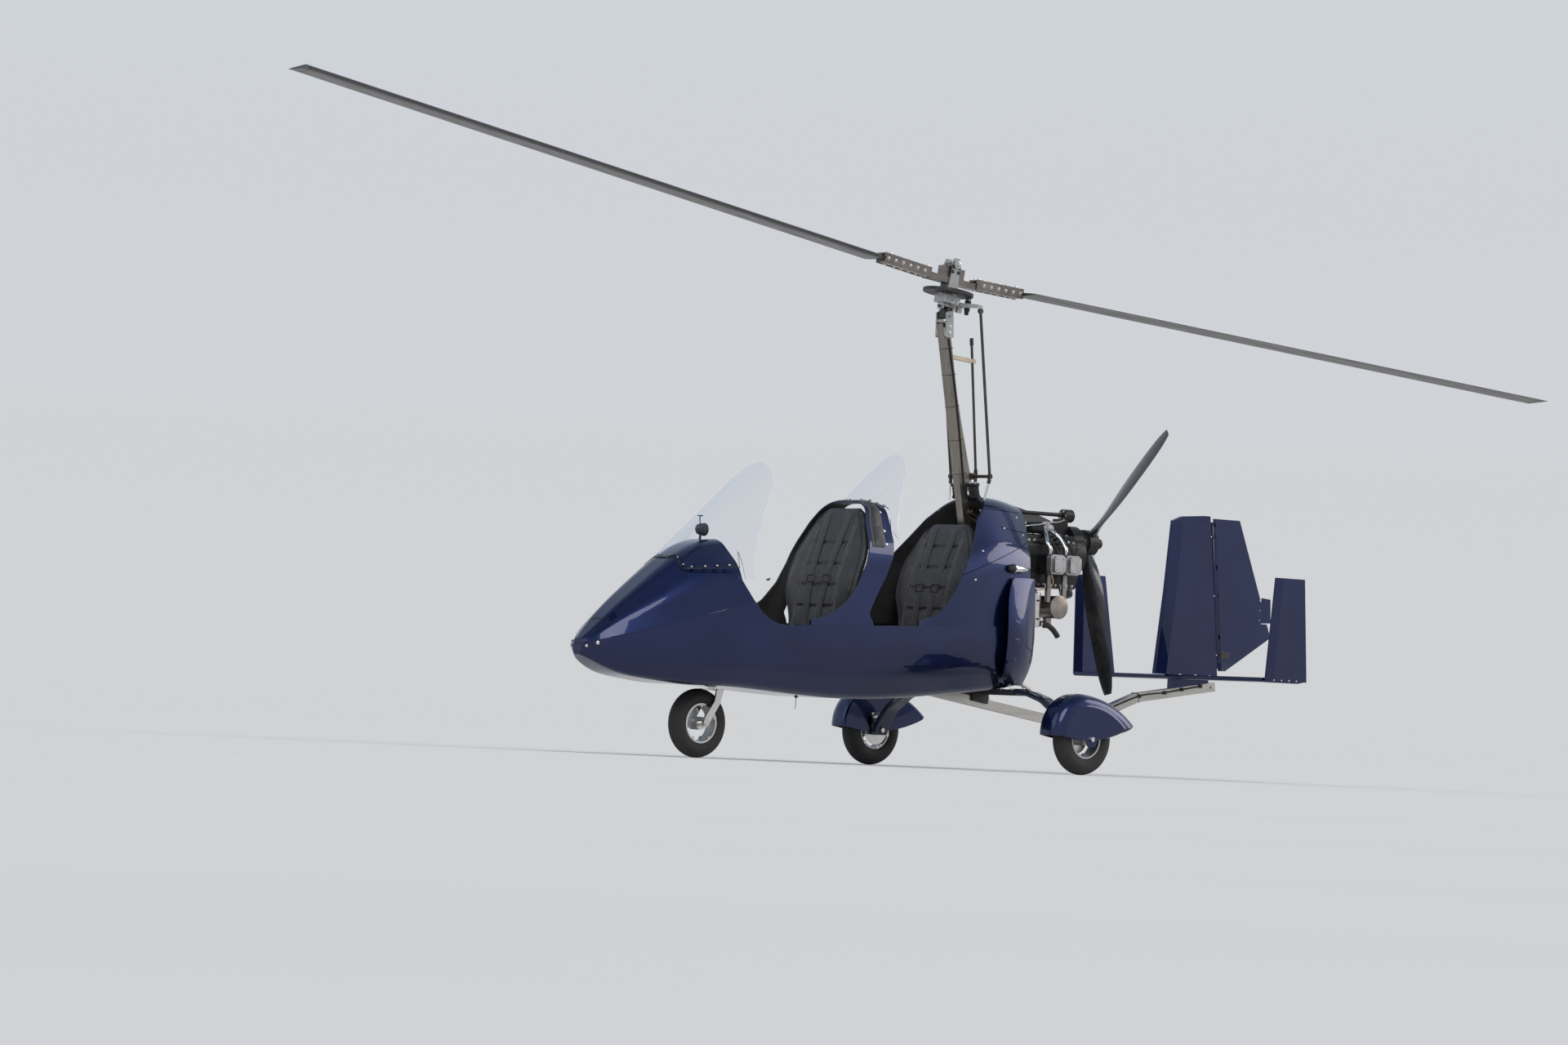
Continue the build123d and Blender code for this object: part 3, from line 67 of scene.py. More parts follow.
def add_node(tree, kind, **inputs):
    """A node of the given kind. Its inputs are values, or sockets to link."""
    node = tree.nodes.new("ShaderNode" + kind)
    for name, value in inputs.items():
        socket = node.inputs[name.replace("_", " ")]
        if isinstance(value, bpy.types.NodeSocket):
            tree.links.new(value, socket)
        else:
            socket.default_value = value
    return node


def position(tree, stretch=(1, 1, 1), turn=(0, 0, 0), shift=(0, 0, 0)):
    place = add_node(tree, "TexCoord").outputs["Object"]
    mapping = add_node(tree, "Mapping", Scale=stretch, Rotation=turn, Location=shift, Vector=place)
    return mapping.outputs["Vector"]


def noise(tree, vector, scale, detail=3.0, roughness=0.5):
    texture = add_node(tree, "TexNoise", Scale=scale, Detail=detail, Roughness=roughness, Vector=vector)
    return texture.outputs["Fac"]


def spread(tree, value, low, high, start=0.3, stop=0.7):
    ranged = add_node(tree, "MapRange", From_Min=start, From_Max=stop, To_Min=low, To_Max=high, Value=value)
    return ranged.outputs["Result"]


def math_node(tree, operation, first, second=None):
    node = tree.nodes.new("ShaderNodeMath")
    node.operation = operation
    for socket, value in zip(node.inputs, (first, second)):
        if isinstance(value, bpy.types.NodeSocket):
            tree.links.new(value, socket)
        elif value is not None:
            socket.default_value = value
    return node.outputs[0]


def ramp(tree, value, *stops):
    """Colour along a value, from stops of position and colour."""
    node = add_node(tree, "ValToRGB", Fac=value)
    elements = node.color_ramp.elements
    for number, (place, color) in enumerate(stops):
        element = elements[number] if number < 2 else elements.new(place)
        element.position = place
        element.color = (*color, 1)
    return node.outputs["Color"]


def tint(tree, shader, value, first, second, start=0.3, stop=0.7):
    tree.links.new(ramp(tree, value, (start, first), (stop, second)), shader.inputs["Base Color"])


def relief(tree, shader, value, strength, distance):
    bump = add_node(tree, "Bump", Strength=strength, Distance=distance, Height=value)
    tree.links.new(bump.outputs["Normal"], shader.inputs["Normal"])


def surface(name, dark, light, rough, scale, grain, stretch=(1, 1, 1), **others):
    """A material whose colour and roughness wander. Grain gives its relief's scale, strength and depth."""
    middle = [0.5 * (a + b) for a, b in zip(dark, light)]
    material, shader = principled(name, middle, 0.5 * (rough[0] + rough[1]), **others)
    tree = material.node_tree
    vector = position(tree, stretch)
    value = noise(tree, vector, scale, 5.0, 0.6)
    tint(tree, shader, value, dark, light)
    tree.links.new(spread(tree, noise(tree, vector, scale * 2.3, 4.0), *rough), shader.inputs["Roughness"])
    relief(tree, shader, noise(tree, vector, grain[0]), *grain[1:])
    return material


def wave(tree, value, turns):
    return math_node(tree, "SINE", math_node(tree, "MULTIPLY", value, turns))


def tyre_material(name, axle, radius):
    """Rubber with ribs round the tread and a ringed sidewall, measured from the axle."""
    material, shader = principled(name, (0.018, 0.018, 0.018), 0.75)
    tree = material.node_tree
    vector = position(tree, shift=(-axle[0], -axle[1], -axle[2]))
    parts = add_node(tree, "SeparateXYZ", Vector=vector).outputs
    squares = [math_node(tree, "MULTIPLY", parts[axis], parts[axis]) for axis in "XZ"]
    out = math_node(tree, "SQRT", math_node(tree, "ADD", *squares))
    wander = noise(tree, position(tree), 26.0, 4.0)
    tint(tree, shader, wander, (0.011, 0.011, 0.011), (0.026, 0.025, 0.024))
    tread = spread(tree, out, 0.0, 1.0, radius - 0.026, radius - 0.02)
    ribs = spread(tree, wave(tree, parts["Y"], 330.0), 0.0, 1.0, -0.75, -0.25)
    rings = spread(tree, wave(tree, out, 700.0), 0.75, 1.0, -0.2, 0.5)
    height = math_node(tree, "ADD", math_node(tree, "MULTIPLY", ribs, tread),
                       math_node(tree, "MULTIPLY", rings, math_node(tree, "SUBTRACT", 1.0, tread)))
    relief(tree, shader, height, 1.0, 0.003)
    tree.links.new(spread(tree, wander, 0.62, 0.85), shader.inputs["Roughness"])
    return material


def weave_material(name, dark, light, pitch, sheen=0.3):
    """Woven webbing: a fine cross weave in the relief and in the colour."""
    material, shader = principled(name, dark, 0.7, sheen=sheen)
    tree = material.node_tree
    parts = add_node(tree, "SeparateXYZ", Vector=position(tree, turn=(0, 0.3, 0))).outputs
    along, across, upward = [wave(tree, parts[axis], 2 * math.pi / pitch) for axis in "XYZ"]
    woven = math_node(tree, "ADD", math_node(tree, "MULTIPLY", along, across), upward)
    tint(tree, shader, woven, dark, light, 0.0, 1.0)
    relief(tree, shader, woven, 0.5, 0.0006)
    return material


paint = surface(
    "metallic_blue_paint", (0.004, 0.0102, 0.056), (0.0064, 0.0152, 0.078), (0.26, 0.36), 2.2, (1300, 0.035,
    0.0003), metallic=0.85, coat=0.7, coat_roughness=0.03,
)
gear_paint = surface(
    "gear_dark_paint", (0.006, 0.009, 0.028), (0.01, 0.014, 0.045), (0.25, 0.4), 8, (500, 0.06, 0.0003),
    metallic=0.2, coat=0.8, coat_roughness=0.08,
)
black_trim = surface(
    "black_trim_plastic", (0.012, 0.012, 0.013), (0.024, 0.024, 0.026), (0.45, 0.62), 14, (700, 0.25, 0.0006),
)
rubber = surface(
    "black_rubber", (0.014, 0.014, 0.014), (0.028, 0.027, 0.026), (0.66, 0.85), 20, (420, 0.3, 0.0006),
)
leather = surface(
    "seat_leather", (0.013, 0.013, 0.014), (0.028, 0.028, 0.03), (0.38, 0.56), 9, (260, 0.45, 0.0014),
    sheen=0.12,
)
webbing = weave_material("belt_webbing", (0.01, 0.01, 0.013), (0.03, 0.03, 0.036), 0.0032)
thread = surface(
    "stitch_thread", (0.42, 0.41, 0.39), (0.6, 0.59, 0.56), (0.7, 0.85), 120, (1500, 0.4, 0.0003),
)
stainless = surface(
    "brushed_stainless", (0.44, 0.42, 0.385), (0.56, 0.535, 0.49), (0.26, 0.38), 5, (160, 0.06, 0.0003),
    stretch=(0.6, 6, 6), metallic=1.0,
)
cast_metal = surface(
    "cast_aluminium", (0.36, 0.36, 0.36), (0.46, 0.46, 0.455), (0.36, 0.48), 9, (260, 0.16, 0.0005),
    metallic=0.95,
)
bright_metal = surface(
    "machined_aluminium", (0.6, 0.585, 0.56), (0.7, 0.685, 0.66), (0.18, 0.28), 8, (300, 0.05, 0.0002),
    stretch=(1, 4, 1), metallic=1.0,
)
chrome = surface(
    "polished_chrome", (0.66, 0.66, 0.66), (0.74, 0.74, 0.74), (0.05, 0.11), 12, (200, 0.03, 0.0002),
    metallic=1.0,
)
engine_black = surface(
    "engine_black_enamel", (0.01, 0.01, 0.01), (0.024, 0.023, 0.022), (0.32, 0.52), 12, (260, 0.18,
    0.0006), metallic=0.25,
)
engine_silver = surface(
    "engine_cast_silver", (0.34, 0.34, 0.345), (0.5, 0.5, 0.5), (0.34, 0.5), 14, (240, 0.2, 0.0006),
    metallic=0.9,
)
steel_dark = surface(
    "dark_steel", (0.06, 0.056, 0.052), (0.1, 0.094, 0.088), (0.3, 0.45), 14, (260, 0.12, 0.0004),
    metallic=0.9,
)
zinc = surface(
    "zinc_fastener", (0.5, 0.49, 0.46), (0.64, 0.63, 0.6), (0.22, 0.36), 60, (500, 0.1, 0.0002),
    metallic=1.0,
)
blade_metal = surface(
    "rotor_blade_metal", (0.05, 0.043, 0.043), (0.076, 0.066, 0.064), (0.28, 0.4), 3, (300, 0.05, 0.0002),
    stretch=(0.3, 4, 4), metallic=0.7,
)
hub_steel = surface(
    "hub_bronzed_steel", (0.17, 0.145, 0.135), (0.27, 0.235, 0.215), (0.26, 0.4), 10, (260, 0.12, 0.0004),
    metallic=0.95,
)
# The mast's brushed stainless, about half as bright as the keel's stainless: painted shade
mast_shaded_steel = surface(
    "mast_brushed_steel_painted_shade", (0.2, 0.185, 0.165), (0.29, 0.268, 0.235), (0.26, 0.38), 6, (200, 0.07, 0.0003),
    stretch=(4, 4, 0.6), metallic=0.95,
)
prop_black = surface(
    "propeller_composite", (0.01, 0.01, 0.011), (0.02, 0.02, 0.022), (0.22, 0.36), 10, (500, 0.08,
    0.0003), coat=0.7, coat_roughness=0.1,
)
brass = surface(
    "warm_alloy", (0.52, 0.4, 0.24), (0.66, 0.53, 0.34), (0.25, 0.4), 20, (300, 0.1, 0.0003), metallic=1.0,
)
exhaust_steel = surface(
    "heat_tinted_steel", (0.2, 0.17, 0.15), (0.4, 0.365, 0.33), (0.28, 0.46), 9, (220, 0.12, 0.0004),
    metallic=1.0,
)
# Near-black painted shade: the shadow in the cowls' panel lines and slit, and inside the scoops
gap_shadow_black = surface(
    "panel_gap_shadow", (0.002, 0.002, 0.003), (0.004, 0.004, 0.006), (0.8, 0.95), 40, (300, 0.1, 0.0003),
    specular=0.1,
)
cream_bracket = surface(
    "cream_bracket", (0.52, 0.44, 0.32), (0.62, 0.54, 0.41), (0.45, 0.6), 40, (500, 0.1, 0.0003),
)
dial_face = surface(
    "dial_face", (0.01, 0.01, 0.011), (0.016, 0.016, 0.017), (0.5, 0.6), 60, (900, 0.1, 0.0002),
)
dial_white = surface("dial_marks", (0.7, 0.7, 0.68), (0.8, 0.8, 0.78), (0.5, 0.6), 80, (900, 0.1, 0.0002))
amber = surface(
    "amber_lens", (0.55, 0.2, 0.02), (0.7, 0.28, 0.03), (0.12, 0.2), 60, (600, 0.1, 0.0003), coat=1.0,
)
red_lens = surface(
    "red_lens", (0.42, 0.01, 0.01), (0.55, 0.02, 0.015), (0.1, 0.18), 60, (600, 0.1, 0.0003), coat=1.0,
)

screen, screen_shader = principled("clear_acrylic", (0.95, 0.97, 1.0), 0.02, transmission=1.0, ior=1.25)
screen_tree = screen.node_tree
screen_tree.links.new(
    spread(screen_tree, noise(screen_tree, position(screen_tree), 5.0, 3.0), 0.0, 0.04),
    screen_shader.inputs["Roughness"],
)

tyre_rubbers = {}
for name in ("nose_tyre", "left_tyre", "right_tyre"):
    low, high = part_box(name)
    tyre_rubbers[name] = tyre_material(name + "_rubber", 0.5 * (low + high), 0.5 * (high.z - low.z))

node_looks = (
    (paint, "fuselage_tub front_hood mid_fairing left_engine_cowl right_engine_cowl"),
    (paint, "left_air_scoop right_air_scoop left_fender right_fender stabilizer left_tip_fin right_tip_fin"),
    (paint, "fin rudder trim_tab"),
    (screen, "front_windscreen rear_windscreen"),
    (leather, "front_seat rear_seat"),
    (black_trim, "seat_frame instrument_panel front_stick rear_stick engine_mount gear_clamp ring_gear"),
    (cast_metal, "pedals head_fork nose_rim left_rim right_rim bearing_block hub_tower"),
    (stainless, "keel_tube tail_boom boom_strut"),
    # The mast gets the darker stainless with painted shade
    (mast_shaded_steel, "mast"),
    (engine_black, "engine_block drive_pulley propeller_hub"),
    (exhaust_steel, "exhaust"),
    (bright_metal, "oil_tank left_axle right_axle nose_fork"),
    (gear_paint, "left_gear_leg right_gear_leg"),
    (steel_dark, "control_rods head_gimbal"),
    (prop_black, "propeller_blade_1 propeller_blade_2 propeller_blade_3"),
    (hub_steel, "hub_bar"),
    (blade_metal, "front_blade rear_blade"),
    *((rubber_look, node) for node, rubber_look in tyre_rubbers.items()),
)
for material, names in node_looks:
    for node in names.split():
        mesh = nodes[node].data
        mesh.materials.clear()
        mesh.materials.append(material)


def second_look(node, material, chosen):
    """Gives a node's faces whose middle is chosen another material."""
    mesh = nodes[node].data
    mesh.materials.append(material)
    slot = len(mesh.materials) - 1
    for face in mesh.polygons:
        if chosen(face.center, face.normal):
            face.material_index = slot


# Stage, light and camera


def new_object(name, data):
    obj = bpy.data.objects.new(name, data)
    bpy.context.scene.collection.objects.link(obj)
    return obj


def stage_floor():
    mesh = bpy.data.meshes.new("studio_floor")
    half = 260.0
    corners = [(-half, -half, 0), (half, -half, 0), (half, half, 0), (-half, half, 0)]
    mesh.from_pydata(corners, [], [(0, 1, 2, 3)])
    floor = new_object("studio_floor", mesh)
    material, shader = principled("studio_floor", (0.74, 0.75, 0.77), 1.0, specular=0.0)
    tree = material.node_tree
    tint(tree, shader, noise(tree, position(tree), 0.5, 2.0), (0.735, 0.742, 0.755), (0.75, 0.757, 0.77))
    mesh.materials.append(material)


stage_floor()

world = bpy.data.worlds.new("studio")
bpy.context.scene.world = world
world.use_nodes = True
world_tree = world.node_tree
ambient = world_tree.nodes["Background"]
ambient.inputs["Color"].default_value = (0.84, 0.88, 0.95, 1)
ambient.inputs["Strength"].default_value = 0.55
toward = add_node(world_tree, "TexCoord").outputs["Generated"]
upward = add_node(world_tree, "SeparateXYZ", Vector=toward).outputs["Z"]
horizon, low_sky, zenith = (0.636, 0.643, 0.656), (0.6, 0.66, 0.74), (0.2, 0.27, 0.4)
sky = ramp(world_tree, upward, (0.0, horizon), (0.9, zenith), (0.22, low_sky))
shown = add_node(world_tree, "Background", Color=sky, Strength=1.0)
rays = add_node(world_tree, "LightPath").outputs
seen = math_node(world_tree, "MAXIMUM", rays["Is Camera Ray"], rays["Is Glossy Ray"])
seen = math_node(world_tree, "MAXIMUM", seen, rays["Is Transmission Ray"])
mix = add_node(world_tree, "MixShader", Fac=seen)
for number, source in ((1, ambient), (2, shown)):
    world_tree.links.new(source.outputs[0], mix.inputs[number])
world_tree.links.new(mix.outputs[0], world_tree.nodes["World Output"].inputs["Surface"])


def sun(name, toward, strength, spread_angle, color):
    data = bpy.data.lights.new(name, "SUN")
    data.energy = strength
    data.angle = math.radians(spread_angle)
    data.color = color
    obj = new_object(name, data)
    obj.rotation_euler = Vector(toward).to_track_quat("Z", "Y").to_euler()


sun("key_sun", (0.35, 0.62, 0.62), 1.1, 34, (1.0, 0.95, 0.88))
sun("rim_sun", (-0.8, 0.38, 0.4), 0.85, 32, (1.0, 0.92, 0.82))
sun("fill_sun", (0.85, -0.2, 0.55), 0.35, 40, (0.9, 0.95, 1.0))

PHOTO_WIDTH, PHOTO_FOCAL, SENSOR = 1920, 8588, 36.0
camera_data = bpy.data.cameras.new("camera")
camera_data.sensor_width = SENSOR
camera_data.lens = PHOTO_FOCAL / PHOTO_WIDTH * SENSOR
camera_data.clip_end = 600
camera = new_object("camera", camera_data)
aim = Vector((0.5955, -0.623, 1.292))
camera_place = Vector((25.4855, 28.105, 0.12))
back = (camera_place - aim).normalized()
right = Vector((0.061, 0, 0.998)).cross(back).normalized()
facing_axes = Matrix((right, back.cross(right), back)).transposed().to_4x4()
camera.matrix_world = Matrix.Translation(camera_place) @ facing_axes
bpy.context.scene.camera = camera
bpy.context.scene.view_settings.view_transform = "Standard"

# Tools for the modelled pieces, in the part's frame

trees = {}


def tree_of(obj):
    if obj.name not in trees:
        mesh = obj.data
        trees[obj.name] = BVHTree.FromPolygons([v.co.copy() for v in mesh.vertices],
                                               [tuple(face.vertices) for face in mesh.polygons])
    return trees[obj.name]


def touch(target, origin, direction, reach=4.0):
    """Where a ray first meets an object or a node of that name, and the normal there that faces the ray."""
    tree = tree_of(nodes[target] if isinstance(target, str) else target)
    origin, direction = Vector(origin), Vector(direction)
    ahead = direction.normalized()
    place, normal, _, _ = tree.ray_cast(origin, ahead, reach)
    if place is None:
        place, normal, _, _ = tree.find_nearest(origin + ahead * 0.5 * reach)
    if normal.dot(direction) > 0:
        normal = -normal
    return place, normal


def side_touch(node, x, z, side=1):
    return touch(node, (x, side * 2.0, z), (0, -side, 0))


def smooth_path(points, steps=6):
    """Points along a smooth line through the given points."""
    points = [Vector(p) for p in points]
    line = []
    for number in range(len(points) - 1):
        before = points[max(number - 1, 0)]
        start, end = points[number], points[number + 1]
        after = points[min(number + 2, len(points) - 1)]
        for step in range(steps):
            t = step / steps
            line.append(0.5 * (
                (2 * start) + (end - before) * t + (2 * before - 5 * start + 4 * end - after) * t * t
                + (3 * start - before - 3 * end + after) * t ** 3
            ))
    line.append(points[-1])
    return line


def turned(axis, start=None):
    """Two directions square to an axis."""
    axis = Vector(axis).normalized()
    if start is None or abs(Vector(start).normalized().dot(axis)) > 0.98:
        start = Vector((0, 0, 1)) if abs(axis.z) < 0.9 else Vector((1, 0, 0))
    first = (Vector(start) - axis * axis.dot(Vector(start))).normalized()
    return first, axis.cross(first)


def vec(x, y, z):
    return Vector((x, y, z))


def steps_round(count, offset=0.0):
    """Angles that divide a full turn."""
    return [2 * math.pi * (n + offset) / count for n in range(count)]


def offsets(centre, pairs, plane="xz"):
    """Points round a centre, from pairs of distances in the xz or xy plane."""
    return [centre + (vec(a, 0, b) if plane == "xz" else vec(a, b, 0)) for a, b in pairs]


MM = 0.001


class Batch:
    """Faces of many small features that end in one piece. Its sizes are in millimetres, places in metres."""

    def __init__(self):
        self.points = []
        self.faces = []

    def add(self, points, faces):
        base = len(self.points)
        self.points.extend(tuple(p) for p in points)
        self.faces.extend(tuple(base + i for i in face) for face in faces)

    def rings(self, rings, closed=False, low_end=True):
        """Skins a row of rings. The ends are filled unless the row closes on itself."""
        size, total = len(rings[0]), len(rings) * len(rings[0])
        faces = []
        for row in range(len(rings) if closed else len(rings) - 1):
            for n in range(size):
                a, b = row * size + n, row * size + (n + 1) % size
                faces.append((a, b, (b + size) % total, (a + size) % total))
        if not closed:
            if low_end:
                faces.append(tuple(reversed(range(size))))
            faces.append(tuple(range(total - size, total)))
        self.add([point for ring in rings for point in ring], faces)

    def lathe(self, place, axis, profile, sides=16):
        """Turned form: profile rows are radius and height along the axis."""
        place, axis = Vector(place), Vector(axis).normalized()
        first, second = turned(axis)
        self.rings([
            [place + (axis * height + (first * math.cos(angle) + second * math.sin(angle)) * radius) * MM
             for angle in steps_round(sides)]
            for radius, height in profile
        ])

    def dome(self, place, axis, radius, height):
        rows = [(radius, -0.3 * height), (radius, 0.25 * height), (0.86 * radius, 0.7 * height),
                (0.5 * radius, 0.95 * height), (0.12 * radius, height)]
        self.lathe(place, axis, rows, 14)

    def bolt(self, place, axis, across, height, washer=True):
        radius = 0.577 * across
        if washer:
            self.lathe(place, axis, [(0.98 * across, -0.2 * height), (0.98 * across, 0.16 * height),
                                     (0.9 * across, 0.24 * height)], 18)
        rows = [(radius, 0), (radius, 0.82 * height), (0.86 * radius, height), (0.1 * radius, height)]
        self.lathe(place, axis, rows, 6)

    def sweep(self, path, section, start=None, closed=False):
        """A closed section of (u, v) points carried along a path."""
        count = len(path)
        rings = []
        first = None
        for n, place in enumerate(path):
            ahead = path[(n + 1) % count] if closed else path[min(n + 1, count - 1)]
            behind = path[(n - 1) % count] if closed else path[max(n - 1, 0)]
            along = (Vector(ahead) - Vector(behind)).normalized()
            first, second = turned(along, first if first is not None else start)
            rings.append([Vector(place) + (first * u + second * v) * MM for u, v in section])
        self.rings(rings, closed)

    def tube(self, path, radius, sides=10, closed=False):
        section = [(radius * math.cos(angle), radius * math.sin(angle)) for angle in steps_round(sides)]
        self.sweep(path, section, closed=closed)

    def band(self, path, normals, half_width, lift, thickness):
        """A flat strip lying on a surface, with softly rounded edges."""
        count = len(path)
        outline = [(-1, 0), (-0.9, 0.8), (-0.6, 1), (0.6, 1), (0.9, 0.8), (1, 0), (0.6, -0.2), (-0.6, -0.2)]
        rings = []
        for n, (place, normal) in enumerate(zip(path, normals)):
            along = (Vector(path[min(n + 1, count - 1)]) - Vector(path[max(n - 1, 0)])).normalized()
            normal = Vector(normal).normalized()
            across = along.cross(normal).normalized()
            rings.append([Vector(place) + (across * u * half_width + normal * (lift + v * thickness)) * MM
                          for u, v in outline])
        self.rings(rings)

    def plate(self, outline, normal, thickness, bevel=0.0):
        """A flat plate from its outline, raised along the normal, its upper edge chamfered."""
        normal = Vector(normal).normalized()
        outline = [Vector(p) for p in outline]
        middle_point = sum(outline, Vector()) / len(outline)
        self.rings([
            [p + (normal * height + (middle_point - p).normalized() * inward) * MM for p in outline]
            for height, inward in ((0.0, 0.0), (thickness - bevel, 0.0), (thickness, bevel))
        ])

    def bolt_on(self, node, origin, direction, across, height, meant=None, along_normal=False, reach=4.0):
        """A bolt where a ray meets a node, left out where it meets another face than the meant one."""
        spot, normal = touch(node, origin, direction, reach)
        if meant is None or meant(spot):
            self.bolt(spot, normal if along_normal else -Vector(direction), across, height)

    def make(self, name, material, body="airframe", flat=False):
        mesh = bpy.data.meshes.new(name)
        mesh.from_pydata(self.points, [], self.faces)
        mesh.update()
        box = bmesh.new()
        box.from_mesh(mesh)
        bmesh.ops.recalc_face_normals(box, faces=box.faces)
        box.to_mesh(mesh)
        box.free()
        mesh.materials.append(material)
        if not flat:
            mesh.shade_smooth()
            mesh.set_sharp_from_angle(angle=math.radians(38))
        obj = new_object(name, mesh)
        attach(obj, body)
        return obj


def along_skin(node, points, side=1, steps=5):
    """Points and normals where a side-view line of (x, z) points falls on a node's flank."""
    line = smooth_path([(x, 0, z) for x, z in points], steps)
    found = [side_touch(node, p.x, p.z, side) for p in line]
    return [place for place, _ in found], [normal for _, normal in found]


# Seats: crowned cushions in the space of the CAD seats, then piping, stitching and harness


def rounded_ring(middle_point, across, upward, half_across, half_up, power=5.0, count=32):
    ring = []
    for n in range(count):
        angle = 2 * math.pi * n / count
        c, s = math.cos(angle), math.sin(angle)
        u = math.copysign(abs(c) ** (2 / power), c) * half_across
        v = math.copysign(abs(s) ** (2 / power), s) * half_up
        ring.append(Vector(middle_point) + Vector(across) * u + Vector(upward) * v)
    return ring


def end_share(number, count, first, second, before_last, last):
    """How much of its size a cushion's ring keeps, so that its ends are crowned."""
    return {0: first, 1: second, count - 2: before_last, count - 1: last}.get(number, 1.0)


def lofted(name, rings):
    """A closed mesh through rings, with crowned ends."""
    box = bmesh.new()
    rows = [[box.verts.new(p) for p in ring] for ring in rings]
    count = len(rings[0])
    for low, high in zip(rows, rows[1:]):
        for n in range(count):
            box.faces.new((low[n], low[(n + 1) % count], high[(n + 1) % count], high[n]))
    box.faces.new(tuple(reversed(rows[0])))
    box.faces.new(tuple(rows[-1]))
    bmesh.ops.recalc_face_normals(box, faces=box.faces)
    mesh = bpy.data.meshes.new(name)
    box.to_mesh(mesh)
    box.free()
    return new_object(name, mesh)


def applied(obj):
    """The object's mesh with its modifiers applied."""
    graph = bpy.context.evaluated_depsgraph_get()
    mesh = bpy.data.meshes.new_from_object(obj.evaluated_get(graph))
    old = obj.data
    obj.modifiers.clear()
    obj.data = mesh
    bpy.data.meshes.remove(old)


def refine(obj):
    """Subdivides once and shades smooth."""
    finer = obj.modifiers.new("finer", "SUBSURF")
    finer.levels = finer.render_levels = 1
    applied(obj)
    obj.data.shade_smooth()


def stuff(obj, voxel, cap, pressure=4.0):
    """Fills a form like a cushion: remesh, cloth under pressure, then a limit on how far a point moved."""
    remesh = obj.modifiers.new("remesh", "REMESH")
    remesh.mode = "VOXEL"
    remesh.voxel_size = voxel
    applied(obj)
    start = [v.co.copy() for v in obj.data.vertices]
    cloth = obj.modifiers.new("cloth", "CLOTH")
    cloth.settings.use_pressure = True
    cloth.settings.uniform_pressure_force = pressure
    cloth.settings.effector_weights.gravity = 0
    scene = bpy.context.scene
    for step in range(1, 21):
        scene.frame_set(step)
    applied(obj)
    scene.frame_set(1)
    for vertex, home in zip(obj.data.vertices, start):
        moved = vertex.co - home
        if moved.length > cap:
            vertex.co = home + moved * (cap / moved.length)
    refine(obj)


def sew(obj, facing, lines, depth, width):
    """Pulls sewn channels into one face of a cushion. A line gives the distance of a point from its seam."""
    normals = [v.normal.copy() for v in obj.data.vertices]
    for vertex, normal in zip(obj.data.vertices, normals):
        turn = max(normal.dot(facing), 0.0)
        if turn < 0.25:
            continue
        sunk = max(math.exp(-(line(vertex.co) / width) ** 2) for line in lines)
        vertex.co -= normal * depth * sunk * min(turn * 1.6, 1.0)


def interp(table, value):
    """Straight-line value of a table of (position, value) rows."""
    if value <= table[0][0]:
        return table[0][1]
    for (low, first), (high, second) in zip(table, table[1:]):
        if value <= high:
            return first + (second - first) * (value - low) / (high - low)
    return table[-1][1]


# Half the distance between a cushion's long seams, and the depth and width of a sewn channel
BACK_SEAM, SQUAB_SEAM = 0.15, 0.128
CHANNEL_DEPTH, CHANNEL_WIDTH = 0.009, 0.007
WEBBING_HALF, WEBBING_THICK = 23.5, 1.8


def seat_backrest(name, cad, face_line):
    low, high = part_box(cad)
    first = face_line[0][0]
    shares = (0, 0.03, 0.08, 0.16, 0.24, 0.32, 0.4, 0.48, 0.56, 0.64, 0.72, 0.8, 0.87, 0.93, 0.97, 1.0)
    heights = [first + 0.055 + (high.z - 0.006 - first - 0.055) * share for share in shares]
    rings = []
    for number, z in enumerate(heights):
        face_x = interp(face_line, z)
        probe = min(z, high.z - 0.02)
        behind, _ = touch(cad, (face_x - 1.0, 0, probe), (1, 0, 0))
        deep = max(min(face_x - behind.x, 0.1), 0.045)
        centre_x = face_x - 0.5 * deep
        flank, _ = touch(cad, (centre_x, 1.0, probe), (0, -1, 0))
        ease = end_share(number, len(heights), 0.9, 0.96, 0.93, 0.78)
        thin = end_share(number, len(heights), 0.72, 0.9, 0.84, 0.55)
        halves = (flank.y - 0.008) * ease, (0.5 * deep - 0.006) * thin
        rings.append(rounded_ring((centre_x, 0, z), (0, 1, 0), (1, 0, 0), *halves))
    cushion = lofted(name, rings)
    stuff(cushion, 0.01, 0.008)
    lines = [lambda p, row=first + 0.16 + 0.115 * n: (p.z - row) if abs(p.y) < BACK_SEAM else 1.0
             for n in range(5)]
    lines.append(lambda p: abs(p.y) - BACK_SEAM)
    sew(cushion, vec(1, 0, 0.2).normalized(), lines, CHANNEL_DEPTH, CHANNEL_WIDTH)
    return cushion


